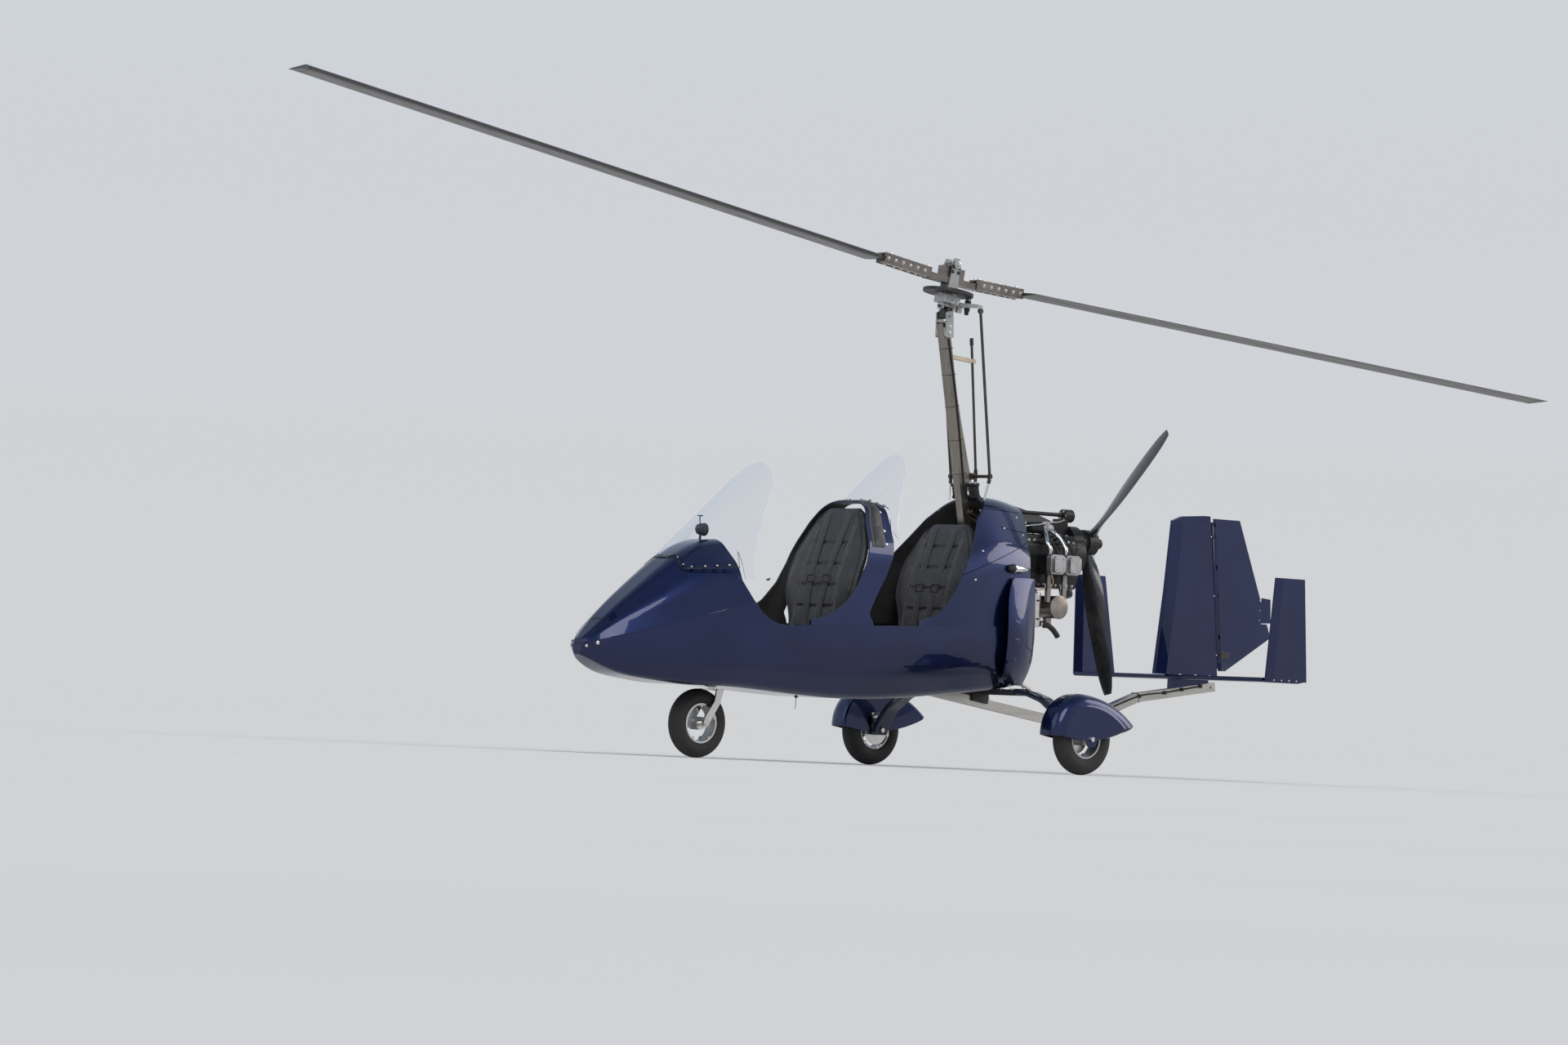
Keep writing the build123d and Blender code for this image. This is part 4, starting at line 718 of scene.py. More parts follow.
def seat_squab(name, cad, floor_z, back_x, front_x):
    rings = []
    stations = [0, 0.03, 0.09, 0.2, 0.35, 0.5, 0.65, 0.8, 0.91, 0.97, 1.0]
    rear = back_x + 0.075
    for number, t in enumerate(stations):
        x = rear + (front_x - 0.008 - rear) * t
        under = floor_z + 0.07 * (x - back_x) / (front_x - back_x) + 0.005
        over, _ = touch(cad, (min(x, front_x - 0.014), 0.12, 2.0), (0, 0, -1))
        top = min(over.z, under + 0.092) - 0.006
        ease = end_share(number, len(stations), 0.94, 0.98, 0.96, 0.88)
        thin = end_share(number, len(stations), 0.75, 0.92, 0.84, 0.55)
        halves = 0.196 * ease, 0.5 * (top - under) * thin
        rings.append(rounded_ring((x, 0, 0.5 * (under + top)), (0, 1, 0), (0, 0, 1), *halves))
    cushion = lofted(name, rings)
    stuff(cushion, 0.009, 0.008)
    lines = [lambda p, seam=rear + along: (p.x - seam) if abs(p.y) < SQUAB_SEAM else 1.0
             for along in (0.12, 0.23)]
    lines.append(lambda p: abs(p.y) - SQUAB_SEAM)
    sew(cushion, vec(0, 0, 1), lines, CHANNEL_DEPTH, CHANNEL_WIDTH)
    return cushion


def drape_points(backrest, squab, y_top, y_low, squab_top, reach, top_z):
    """Where a shoulder strap lies: down the backrest, then forward on the squab."""
    found = []
    for n in range(13):
        t = n / 12
        y, z = y_top + (y_low - y_top) * t, top_z + (squab_top + 0.055 - top_z) * t
        found.append(touch(backrest, (2.5, y, z), (-1, 0, 0)))
    last = found[-1][0]
    for n in range(1, 6):
        x = last.x + 0.045 + (reach - 0.045) * n / 5
        found.append(touch(squab, (x, y_low * (1 - 0.5 * n / 5), 2.0), (0, 0, -1)))
    return [place for place, _ in found], [normal for _, normal in found]


def eased(places, normals):
    """Points and normals smoothed twice, with the ends kept."""
    for _ in range(2):
        inner = [0.25 * a + 0.5 * b + 0.25 * c for a, b, c in zip(places, places[1:], places[2:])]
        turning = [(a + b + c).normalized() for a, b, c in zip(normals, normals[1:], normals[2:])]
        places = [places[0], *inner, places[-1]]
        normals = [normals[0], *turning, normals[-1]]
    return places, normals


def piping(batch, found):
    """A round cord along touched points, just proud of them."""
    line = [place + normal * 0.0012 for place, normal in found]
    batch.tube(eased(line, line)[0], 3.5, 8)


# Each seat's name, its face as (z, x) rows, and its floor, back and front
SEATS = (
    ("front", [(0.56, 0.95), (1.0, 0.872), (1.38, 0.722)], 0.45, 0.87, 1.3),
    ("rear", [(0.58, 0.165), (1.0, 0.085), (1.335, -0.044)], 0.47, 0.095, 0.52),
)
for place_name, face_line, floor_z, back_x, front_x in SEATS:
    cad = place_name + "_seat"
    backrest = seat_backrest(place_name + "_backrest_cushion", cad, face_line)
    squab = seat_squab(place_name + "_squab_cushion", cad, floor_z, back_x, front_x)
    for cushion, fill in ((backrest, 0.7), (squab, 0.75)):
        cushion.data.materials.clear()
        cushion.data.materials.append(leather)
        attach(cushion, "airframe")
        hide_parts(cad)
    trim = Batch()
    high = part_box(cad)[1]
    first = face_line[0][0]
    for side in (1, -1):
        found = []
        for n in range(24):
            z = first + 0.1 + (high.z - 0.035 - first - 0.1) * n / 23
            flank, _ = touch(backrest, (interp(face_line, z) - 0.03, side * 1.0, z), (0, -side, 0))
            found.append(touch(backrest, (2.5, flank.y - side * 0.02, z), (-1, 0, 0)))
        piping(trim, found)
    for side in (1, -1):
        line_x = [back_x + 0.12 + (front_x - 0.03 - back_x - 0.12) * n / 13 for n in range(14)]
        piping(trim, [touch(squab, (x, side * 0.18, 2.0), (0, 0, -1)) for x in line_x])
    trim.make(place_name + "_seat_piping", black_trim)
    stitches = Batch()
    for side in (1, -1):
        for aside in (BACK_SEAM - 0.008, BACK_SEAM + 0.008):
            for n in range(64):
                z = first + 0.11 + 0.0095 * n
                if z > high.z - 0.1:
                    break
                ends = [touch(backrest, (2.5, side * aside, z + step), (-1, 0, 0)) for step in (0, 0.0055)]
                stitches.tube([place + normal * 0.0003 for place, normal in ends], 0.7, 5)
    stitches.make(place_name + "_seat_stitching", thread)
    squab_top = touch(squab, (back_x + 0.16, 0, 2.0), (0, 0, -1))[0].z
    straps, metal = Batch(), Batch()
    for side in (1, -1):
        places, normals = eased(*drape_points(backrest, squab, side * 0.085, side * 0.04, squab_top, 0.15,
                                              high.z - 0.045))
        straps.band(places, normals, WEBBING_HALF, 2.5, WEBBING_THICK)
        spot, normal = places[6], normals[6]
        along = (places[7] - places[5]).normalized()
        across = along.cross(normal)
        for way, other, shift, half in ((along, across, 0.02, 0.029), (across, along, 0.029, 0.02)):
            for end in (-shift, shift):
                rod_middle = spot + way * end + normal * 0.0065
                metal.tube([rod_middle - other * half, rod_middle + other * half], 2.8, 8)
        lap = [touch(squab, (back_x + 0.1 + 0.105 * n / 9, side * (0.186 - 0.15 * n / 9), 2.0), (0, 0, -1))
               for n in range(10)]
        places, normals = eased([place for place, _ in lap], [normal for _, normal in lap])
        straps.band(places, normals, WEBBING_HALF, 4.5, WEBBING_THICK)
    straps.make(place_name + "_harness_webbing", webbing)
    buckle_place, buckle_normal = touch(squab, (back_x + 0.222, 0, 2.0), (0, 0, -1))
    buckle_place = buckle_place + buckle_normal * 0.003
    metal.lathe(buckle_place, buckle_normal,
                [(30, 0), (33, 4), (33, 12), (29, 17), (20, 19)], 28)
    metal.make(place_name + "_harness_metal", steel_dark)
    release = Batch()
    release.lathe(buckle_place + buckle_normal * 0.0185, buckle_normal,
                  [(17, 0), (17, 3), (14, 6), (6, 7.5)], 24)
    release.make(place_name + "_harness_release", red_lens)

# Instrument panel: bezels, faces, needles and switches
panel_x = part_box("instrument_panel")[0].x
DIALS = [(-0.11, 0.985, 41), (0.0, 0.985, 41), (0.11, 0.985, 41),
         (-0.165, 0.885, 29), (-0.075, 0.885, 29), (0.075, 0.885, 29), (0.165, 0.885, 29)]
facing = vec(-1, 0, 0)
bezels, faces, marks = Batch(), Batch(), Batch()


def mark(centre, lift, degrees, radius, start, stop, thick, sides):
    """A thin line on a dial, at an angle from its top, between two shares of its radius."""
    angle = math.radians(degrees)
    out = vec(0, -math.sin(angle), math.cos(angle)) * (radius * MM)
    marks.tube([centre + facing * lift + out * start, centre + facing * lift + out * stop],
               thick, sides)


for number, (y, z, radius) in enumerate(DIALS):
    centre = vec(panel_x - 0.0001, y, z)
    faces.lathe(centre, facing, [(radius - 1.5, 0), (radius - 1.5, 1.2), (radius - 4, 1.4)], 32)
    ring = [centre + facing * 0.002 + vec(0, math.cos(a), math.sin(a)) * ((radius - 0.5) * MM)
            for a in steps_round(36)]
    bezels.tube(ring, 3.2, 8, closed=True)
    for n in range(21):
        inner, thick = (0.67, 0.9) if n % 5 == 0 else (0.74, 0.6)
        mark(centre, 0.0018, -135 + 270 * n / 20, radius, 0.84, inner, thick, 4)
    mark(centre, 0.0028, -110 + 37 * number, radius, -0.2, 0.72, 0.9, 5)
    bezels.lathe(centre, facing, [(4, 0), (4, 3.5), (3, 4.2)], 12)
for n in range(6):
    spot = vec(panel_x, -0.1 + 0.04 * n, 0.838)
    bezels.lathe(spot, facing, [(7.5, 0), (7.5, 3), (5, 4.5)], 12)
    bezels.tube([spot + vec(-0.003, 0, 0), spot + vec(-0.02, 0, 0.007 if n % 2 else -0.007)], 2.8, 8)
for y, z in ((-0.255, 0.85), (0.255, 0.85), (-0.205, 1.03), (0.205, 1.03)):
    bezels.dome(vec(panel_x, y, z), facing, 6, 3)
bezels.make("instrument_bezels", steel_dark)
faces.make("instrument_faces", dial_face)
marks.make("instrument_marks", dial_white)
lamps = Batch()
for n in range(3):
    lamps.dome(vec(panel_x, -0.225 + 0.018 * n, 0.94), facing, 5.5, 4)
lamps.make("warning_lamps", amber)

# Inner faces of the shells are matt black; the scoops' inner faces are near-black painted shade


def facing_in(middle_z, low_x, high_x):
    return lambda c, n: n.dot(vec(0, c.y, c.z - middle_z)) < -0.012 and low_x < c.x < high_x


second_look("fuselage_tub", black_trim, facing_in(0.6, -0.395, 2.4))
second_look("front_hood", black_trim, facing_in(0.72, 1.5, 2.4))
second_look("mid_fairing", black_trim, facing_in(0.95, 0.4, 1.3))
for side_name, side in (("left", 1), ("right", -1)):
    second_look(side_name + "_engine_cowl", black_trim, facing_in(0.95, -0.6, 0.5))
    # The inside of each scoop is painted shade, near-black
    second_look(side_name + "_air_scoop", gap_shadow_black, lambda c, n: n.y * side < -0.45 and abs(c.y) < 0.345)
    second_look(side_name + "_fender", black_trim,
                lambda c, n: n.dot(vec(c.x + 0.3, 0, c.z - 0.1)) < -0.02 and abs(abs(c.y) - 0.855) < 0.066)
second_look("engine_block", engine_silver, lambda c, n: abs(c.y) > 0.2262)
second_look("engine_mount", steel_dark, lambda c, n: c.z > 1.29)
second_look("nose_rim", bright_metal, lambda c, n: abs(n.y) > 0.95 and abs(c.y) > 0.03)

# Windscreen seams: a rubber line where the screen meets the shell, and a row of screws above it


def foot_of_screen(screen, base, rays):
    """Points where each upright fan of rays first meets the screen instead of its base."""
    line = []
    for origin_at, direction in rays:
        found = None
        for n in range(120):
            origin = origin_at(0.005 * n)
            hit, normal, _, far = tree_of(screen).ray_cast(origin, direction, 2.0)
            other, _, _, near = tree_of(base).ray_cast(origin, direction, 2.0)
            if hit is not None and (other is None or far < near):
                found = (hit, normal if normal.dot(direction) < 0 else -normal)
                break
        line.append(found)
    middle = len(line) // 2
    kept = [line[middle]]
    for step in (1, -1):
        spot, n = line[middle], middle + step
        while 0 <= n < len(line) and line[n] is not None and (line[n][0] - spot[0]).length < 0.032:
            spot = line[n]
            kept.insert(len(kept) if step == 1 else 0, spot)
            n += step
    return kept


def screen_seam(screen_name, base_name, rays, rise, screws, ends=0.06):
    line = foot_of_screen(nodes[screen_name], nodes[base_name], rays)
    edge = [spot + normal * 0.0008 for spot, normal in line]
    gasket = Batch()
    gasket.tube(smooth_path(eased(edge, edge)[0], 2), 2.4, 8)
    gasket.make(screen_name + "_gasket", rubber)
    heads, washers = Batch(), Batch()
    lengths = [0.0]
    for n in range(1, len(line)):
        lengths.append(lengths[-1] + (line[n][0] - line[n - 1][0]).length)
    for n in range(screws):
        goal = lengths[-1] * (ends + (1 - 2 * ends) * n / (screws - 1))
        index = min(range(len(line)), key=lambda k: abs(lengths[k] - goal))
        spot, normal = line[index]
        place, facing = touch(screen_name, spot + vec(0, 0, rise) + normal * 0.3, -normal, 1.0)
        if (place - spot).length > 0.05:
            continue
        washers.lathe(place, facing, [(8.5, -1), (8.5, 1.2), (7.5, 1.8)], 14)
        heads.dome(place + facing * 0.0014, facing, 5.8, 3.6)
    washers.make(screen_name + "_screw_washers", rubber)
    heads.make(screen_name + "_screws", zinc)


def fan(count, degrees, ray):
    """Rays at equal steps of angle on both sides of the middle."""
    angles = [math.radians(degrees * n) for n in range(-count, count + 1)]
    return [ray(math.cos(angle), math.sin(angle)) for angle in angles]


def front_ray(c, s):
    return lambda rise: vec(1.6, 0, 0.93 + rise) + vec(c, s, 0) * 0.9, vec(-c, -s, 0)


def rear_ray(c, s):
    return lambda rise: vec(1.6, 0, 1.2) + vec(0, s, c) * (0.08 + rise), vec(-1, 0, 0)


front_rays = fan(90, 1.15, front_ray)
rear_rays = fan(31, 1.6, rear_ray)
screen_seam("front_windscreen", "front_hood", front_rays, 0.014, 14)
screen_seam("rear_windscreen", "mid_fairing", rear_rays, 0.012, 9)

# Compass on the front rim of the cockpit, with its bracket and a thin post

rim_top, _ = touch("front_hood", (1.668, 0, 3.0), (0, 0, -1))
compass = Batch()
foot_plate = offsets(rim_top, ((-0.016, -0.02), (0.016, -0.02), (0.016, 0.02), (-0.016, 0.02)), "xy")
compass.plate(foot_plate, (0, 0, 1), 6, 1.5)
stem = [rim_top, rim_top + vec(-0.002, 0, 0.02), rim_top + vec(-0.006, 0, 0.045)]
compass.tube(smooth_path(stem, 3), 6.5, 10)
body_middle = rim_top + vec(-0.008, 0, 0.068)
compass.lathe(body_middle + vec(0.03, 0, 0), (-1, 0, 0), [
    (6, 0), (18, 3), (27, 12), (31, 26), (31, 44), (34, 46), (34, 54), (29, 56),
], 24)
post = [body_middle + vec(*p) for p in ((0.005, 0, 0.026), (0.012, 0, 0.05), (0.01, 0, 0.072))]
compass.tube(smooth_path(post, 3), 2.8, 8)
compass.tube([post[-1] + vec(0, -0.02, 0), post[-1] + vec(0, 0.02, 0)], 2.8, 8)
compass.make("rim_compass", black_trim)
card = Batch()
card.lathe(body_middle + vec(-0.0255, 0, 0), (-1, 0, 0),
           [(27, 0), (26, 3), (19, 8), (8, 11)], 24)
card.make("rim_compass_window", dial_face)

# Nose fittings and the belly whip

nose_bright, nose_base = Batch(), Batch()
for side in (1, -1):
    for x, z, radius in ((2.4589, 0.572, 10.5), (2.4975, 0.554, 8)):
        place, normal = side_touch("fuselage_tub", x, z, side)
        nose_base.lathe(place, normal, [(radius + 3, -2), (radius + 3, 1.2), (radius + 1, 2)], 20)
        nose_bright.dome(place + normal * 0.001, normal, radius, 6)
nose_base.make("nose_fitting_rings", black_trim)
nose_bright.make("nose_fittings", chrome)
whip_foot, _ = touch("fuselage_tub", (0.994, 0.0, -1.0), (0, 0, 1))
whip = Batch()
whip.lathe(whip_foot + vec(0, 0, 0.001), (0, 0, -1), [(12, 0), (11, 3), (4, 9), (3, 12)], 16)
whip.tube([whip_foot + vec(0, 0, -0.01), whip_foot + vec(0.003, 0, -0.066)], 1.6, 8)
whip.make("belly_whip", black_trim)

# Padded cover on the hoop between the seats

HOOP_FRONT = [(0.956, 0.883), (1.07, 0.822), (1.16, 0.79), (1.29, 0.755), (1.405, 0.698)]
HOOP_REAR = [(0.929, 0.74), (1.014, 0.684), (1.108, 0.636), (1.197, 0.606), (1.3, 0.586), (1.405, 0.574)]


def hoop_point(angle, share):
    """Point and normal on the hoop's outer face, at an angle from its top and a share of the way aft."""
    x = 0.65
    place = normal = None
    direction = vec(0, math.sin(angle), math.cos(angle))
    for _ in range(4):
        place, normal = touch("mid_fairing", vec(x, 0, 1.02) + direction * 0.9, -direction, 0.9)
        front_x = interp(HOOP_FRONT, place.z) - 0.012
        rear_x = interp(HOOP_REAR, place.z) + 0.012
        x = front_x + (rear_x - front_x) * share
    return place, normal


def hoop_pad():
    across_count, along_count = 72, 12
    limit = math.radians(66)
    points, faces = [], []
    edge_front, edge_rear = [], []
    for i in range(across_count + 1):
        angle = -limit + 2 * limit * i / across_count
        for j in range(along_count + 1):
            place, normal = hoop_point(angle, 0.02 + 0.66 * j / along_count)
            edge = min(j / along_count, 1 - j / along_count, i / across_count * 6, (1 - i / across_count) * 6)
            swell = 0.011 * math.sqrt(min(edge * 2.4, 1.0)) if edge > 0 else 0.0
            channel = min(abs(angle - math.radians(a)) for a in (-44, -22, 0, 22, 44))
            swell -= 0.0035 * math.exp(-(channel / 0.022) ** 2) * min(edge * 5, 1.0)
            points.append(place + normal * (swell - 0.0008))
            if j == 1:
                edge_front.append((place + normal * swell, normal))
            if j == along_count - 1:
                edge_rear.append((place + normal * swell, normal))
    row = along_count + 1
    for i in range(across_count):
        for j in range(along_count):
            a = i * row + j
            faces.append((a, a + 1, a + row + 1, a + row))
    pad = Batch()
    pad.add(points, faces)
    obj = pad.make("hoop_pad", leather)
    refine(obj)
    stitches = Batch()
    for line in (edge_front, edge_rear):
        places = smooth_path([p for p, _ in line], 4)
        normals = [n for _, n in line for _ in range(4)]
        for k in range(0, len(places) - 2, 2):
            lift = normals[min(k, len(normals) - 1)] * 0.0009
            stitches.tube([places[k] + lift, places[k] + (places[k + 1] - places[k]) * 0.95 + lift], 1, 5)
    stitches.make("hoop_pad_stitching", thread)
    snaps = Batch()
    for degrees in (-62, -48, -30, 0, 30, 48, 62):
        place, normal = hoop_point(math.radians(degrees), 0.7)
        snaps.lathe(place, normal, [(9.5, 0), (9.5, 3), (8, 5), (4, 5.8)], 18)
    snaps.make("hoop_pad_snaps", zinc)


hoop_pad()

# Engine cowls: panel lines, the slit, screws and the side lights

cowl_lines, cowl_screws = Batch(), Batch()
lights_dark, lights_bright = Batch(), Batch()
COWL_LINES = (
    ([(0.165, 1.034), (0.129, 1.048), (-0.06, 1.118), (-0.24, 1.184), (-0.44, 1.252)], 2),
    ([(-0.06, 1.4245), (-0.187, 1.4115), (-0.33, 1.408), (-0.455, 1.405)], 1.8),
    ([(-0.215, 1.318), (-0.32, 1.304), (-0.46, 1.296)], 2.2),
)
COWL_SCREWS = (
    (-0.243, 1.314), (-0.02, 1.386), (-0.4, 1.38), (-0.02, 1.18), (-0.4, 1.285), (0.06, 1.02),
    (-0.4, 0.84),
)
for side, name in ((1, "left_engine_cowl"), (-1, "right_engine_cowl")):
    for points, half_width in COWL_LINES:
        places, normals = along_skin(name, points, side, 8)
        cowl_lines.band(places, normals, half_width, -0.2, 0.7)
    for x, z in COWL_SCREWS:
        place, normal = side_touch(name, x, z, side)
        cowl_screws.lathe(place, normal, [(7, -1), (7, 1), (6.2, 1.6)], 14)
        cowl_screws.dome(place + normal * 0.0012, normal, 4.6, 2.2)
    place, normal = side_touch(name, -0.2575, 1.0938, side)
    ahead = vec(1, 0, 0) - normal * normal.x
    ahead.normalize()
    centre = place + normal * 0.01
    lights_dark.lathe(centre + ahead * 0.03, ahead, [
        (23.5, 0), (23.5, 12), (21.5, 24), (16, 35), (8, 42), (1.5, 44),
    ], 26)
    lights_bright.lathe(centre + ahead * 0.034, -ahead, [
        (24, 0), (26.2, 2), (26.2, 12), (23.6, 15), (23, 50), (19, 85),
        (12.5, 112), (6, 124), (1, 127),
    ], 28)
# The panel lines and the slit are near-black bands of painted shade
cowl_lines.make("cowl_panel_lines", gap_shadow_black)
cowl_screws.make("cowl_screws", zinc)
lights_dark.make("side_light_lenses", dial_face)
lights_bright.make("side_light_bodies", chrome)

# Engine: intake, ignition, cooling and fasteners


def hoses(name, material, routes, radius, body="airframe"):
    """One object of round hoses or tubes, each smooth along its own route."""
    batch = Batch()
    for route in routes:
        batch.tube(smooth_path(route, 6), radius, 12)
    return batch.make(name, material, body)


def both_sides(route):
    return [[(x, side * y, z) for x, y, z in route] for side in (1, -1)]


CYLINDERS = [(-0.622, 1), (-0.738, 1), (-0.64, -1), (-0.756, -1)]
intake, leads, water, rods_bright = [], [], [], Batch()
plugs, clamps, head_bolts, carbs, filters = Batch(), Batch(), Batch(), Batch(), Batch()
for x, side in CYLINDERS:
    middle_x = -0.66 if x > -0.7 else -0.7
    intake.append([
        (x, side * 0.196, 1.188), (x, side * 0.194, 1.222), (x + 0.004, side * 0.168, 1.262),
        (0.5 * (x + middle_x), side * 0.128, 1.306), (middle_x, side * 0.088, 1.33),
    ])
    for shift in (-0.026, 0.026):
        plug = vec(x + shift, side * 0.244, 1.186)
        plugs.lathe(plug, (0, side * 0.25, 1),
                    [(7.5, -4), (7.5, 12), (5.5, 16), (5.5, 30), (4, 34)], 10)
        top = plug + vec(0, side * 0.008, 0.034)
        leads.append([
            top, top + vec(0, side * 0.004, 0.018), top + vec(-0.02, -side * 0.05, 0.052),
            vec(-0.8 - 0.3 * shift, side * 0.105, 1.292 + 0.2 * shift), vec(-0.855, side * 0.06, 1.3),
        ])
    water.append([
        (x - 0.04, side * 0.212, 1.192), (x - 0.04, side * 0.206, 1.216), (x - 0.02, side * 0.176, 1.25),
        (-0.56, side * 0.128, 1.262), (-0.478, side * 0.096, 1.25),
    ])
    for shift in (-0.02, 0.02):
        rods_bright.tube([(x + shift, side * 0.146, 1.094), (x + shift, side * 0.232, 1.094)], 8.5, 12)
        for height in (-0.03, 0.03):
            head_bolts.bolt(vec(x + shift * 1.2, side * 0.2815, 1.136 + height), (0, side, 0), 8.5, 5)
    clamps.lathe((x, side * 0.1955, 1.19), (0, 0, 1), [(17.5, 0), (17.5, 7)], 18)
hoses("intake_tubes", chrome, intake, 13.5)
hoses("ignition_leads", rubber, leads, 3.2)
hoses("coolant_hoses", rubber, water, 8.5)
plugs.make("plug_caps", black_trim)
clamps.make("intake_clamps", zinc)
rods_bright.make("push_rod_tubes", chrome)
head_bolts.make("head_bolts", zinc)
for side in (1, -1):
    centre = vec(-0.68, side * 0.09, 1.336)
    for shift, axis, profile, sides in (
        ((-0.045, 0, 0), (1, 0, 0), [(16, 0), (21, 4), (24, 20), (30, 24), (30, 52), (22, 58), (22, 86)], 22),
        ((0.006, 0, -0.012), (0, 0, -1), [(21, 0), (21, 16), (17, 26), (6, 30)], 18),
        ((0.006, 0, 0.014), (0, 0, 1), [(24, 0), (24, 12), (18, 20), (6, 22)], 18),
    ):
        carbs.lathe(centre + vec(*shift), axis, profile, sides)
    rows = [(22, 0)]
    for n in range(9):
        rows += [(35 - 0.7 * n, 4 + 9 * n), (31.5 - 0.7 * n, 8.5 + 9 * n)]
    rows += [(29, 88), (20, 92)]
    filters.lathe(centre + vec(0.04, 0, 0), (1, 0, 0), rows, 24)
carbs.make("carburettors", engine_silver)
filters.make("air_filters", dial_face)

accessories, oil_filter = Batch(), Batch()
accessories.lathe((-0.905, -0.092, 1.052), (1, 0, 0), [
    (18, 0), (34, 6), (34, 85), (28, 92), (28, 110), (12, 114),
], 24)
accessories.lathe((-0.905, -0.092, 1.1), (1, 0, 0), [(10, 10), (16, 14), (16, 70), (10, 74)], 18)
oil_filter.lathe((-0.84, 0.088, 1.03), (0, 0.35, -1), [(36, -10), (36, 58), (30, 68), (10, 72)], 26)
accessories.lathe((-0.56, 0.0, 1.302), (0, 0, 1), [(20, 0), (20, 12), (14, 18), (14, 26)], 18)
for angle in steps_round(8, 0.5):
    start = (-2.0, 0.074 * math.cos(angle), 1.274 + 0.074 * math.sin(angle))
    spot, _ = touch("engine_block", start, (1, 0, 0))
    accessories.bolt(spot - vec(0.0005, 0, 0), (-1, 0, 0), 10, 6)
for side in (1, -1):
    for n in range(6):
        accessories.bolt_on("engine_block", (-0.53 - 0.062 * n, side * 0.085, 2.0), (0, 0, -1), 10, 6,
                            along_normal=True)
    for z in (1.055, 1.275):
        accessories.bolt(vec(-0.4595, side * 0.108, z), (1, 0, 0), 16, 9)
for n in range(5):
    around = vec(0, 0.025 * math.cos(n * 1.257), 0.025 * math.sin(n * 1.257))
    accessories.bolt(vec(-0.8852, 0, 1.415) + around, (1, 0, 0), 8, 4)
    accessories.bolt(vec(-0.9448, 0, 1.415) + around, (-1, 0, 0), 8, 4)
accessories.make("engine_accessories", engine_silver)
oil_filter.make("oil_filter", engine_black)
hoses("engine_wiring", rubber, [
    [(-0.48, 0.06, 1.305), (-0.54, 0.05, 1.318), (-0.64, 0.04, 1.312), (-0.76, 0.052, 1.312),
     (-0.86, 0.06, 1.304)],
    [(-0.48, -0.06, 1.305), (-0.56, -0.046, 1.32), (-0.66, -0.04, 1.312), (-0.78, -0.056, 1.312),
     (-0.88, -0.07, 1.29)],
    [(-0.48, 0.11, 1.22), (-0.56, 0.15, 1.262), (-0.64, 0.16, 1.274), (-0.72, 0.14, 1.29),
     (-0.8, 0.09, 1.304)],
    [(-0.48, 0.13, 1.06), (-0.54, 0.168, 1.04), (-0.6, 0.172, 1.02), (-0.66, 0.16, 1.012)],
], 4.5)
hoses("fuel_lines", brass, [
    *both_sides([(-0.49, 0.03, 1.308), (-0.56, 0.06, 1.33), (-0.63, 0.082, 1.352),
                 (-0.672, 0.088, 1.354)]),
    [(-0.62, 0.216, 1.082), (-0.64, 0.206, 1.03), (-0.6, 0.18, 1.0), (-0.56, 0.158, 0.99)],
], 4)
tank_axis = vec(-0.545, 0.15, 0)
straps_metal, tank_cap = Batch(), Batch()
for z in (0.835, 0.935):
    ring = [tank_axis + vec(0.0492 * math.cos(a), 0.0492 * math.sin(a), z) for a in steps_round(40)]
    straps_metal.sweep(ring, [(-0.8, -7), (1.2, -7), (1.2, 7), (-0.8, 7)], start=(0, 0, 1), closed=True)
    straps_metal.bolt(tank_axis + vec(0.0, 0.05, z), (0, 1, 0), 9, 8, False)
tank_cap.lathe(tank_axis + vec(0, 0, 0.9955), (0, 0, 1), [(23, -12), (24.5, -10), (24.5, 0), (18, 3)], 22)
straps_metal.make("tank_straps", steel_dark)
tank_cap.make("tank_cap", black_trim)
hoses("tank_hose", rubber, [
    [(-0.59, 0.15, 0.812), (-0.612, 0.152, 0.812), (-0.65, 0.156, 0.808), (-0.69, 0.16, 0.79),
     (-0.722, 0.162, 0.762), (-0.736, 0.163, 0.744)],
], 15)
hoses("braided_hoses", zinc, [
    *both_sides([(-0.48, 0.08, 1.33), (-0.54, 0.11, 1.344), (-0.6, 0.126, 1.352),
                 (-0.65, 0.12, 1.366), (-0.69, 0.096, 1.368)]),
    [(-0.7, 0.06, 1.36), (-0.76, 0.04, 1.372), (-0.82, 0.036, 1.376), (-0.87, 0.034, 1.392)],
], 4.6)
case_bolts, muffler_rims = Batch(), Batch()
for side in (1, -1):
    for n in range(9):
        for z in (1.028, 1.262):
            case_bolts.bolt_on("engine_block", (-0.515 - 0.042 * n, side * 2.0, z), (0, -side, 0), 9.5, 6,
                               lambda spot: abs(spot.y) > 0.1)
    muffler_rims.lathe((-0.69, side * 0.2155, 0.905), (0, -side, 0),
                       [(60, -0.8), (64.5, 1), (64.5, 7), (62, 8)], 40)
    muffler_rims.lathe((-0.69, side * 0.11, 0.905), (0, -side, 0),
                       [(62.2, -6), (64, -4), (64, 4), (62.2, 6)], 40)
for x, side in CYLINDERS:
    flange = (x, side * 0.19, 1.01)
    muffler_rims.lathe(flange, (0, 0, 1), [(17.2, 0), (21.5, 2), (21.5, 9), (17.2, 11)], 20)
    for dx in (-0.022, 0.022):
        case_bolts.lathe(Vector(flange) + vec(dx, 0, 0), (0, 0, 1), [(3.5, -6), (3.5, 16)], 8)
case_bolts.make("engine_case_bolts", zinc)
muffler_rims.make("muffler_rims", exhaust_steel)
hose_clip = Batch()
hose_clip.lathe((-0.606, 0.1515, 0.812), (-1, 0, 0), [(16.8, 0), (16.8, 10)], 20)
hose_clip.make("hose_clip", zinc)

# Mast: cables, bracket, shafts and the rubber-mounted foot

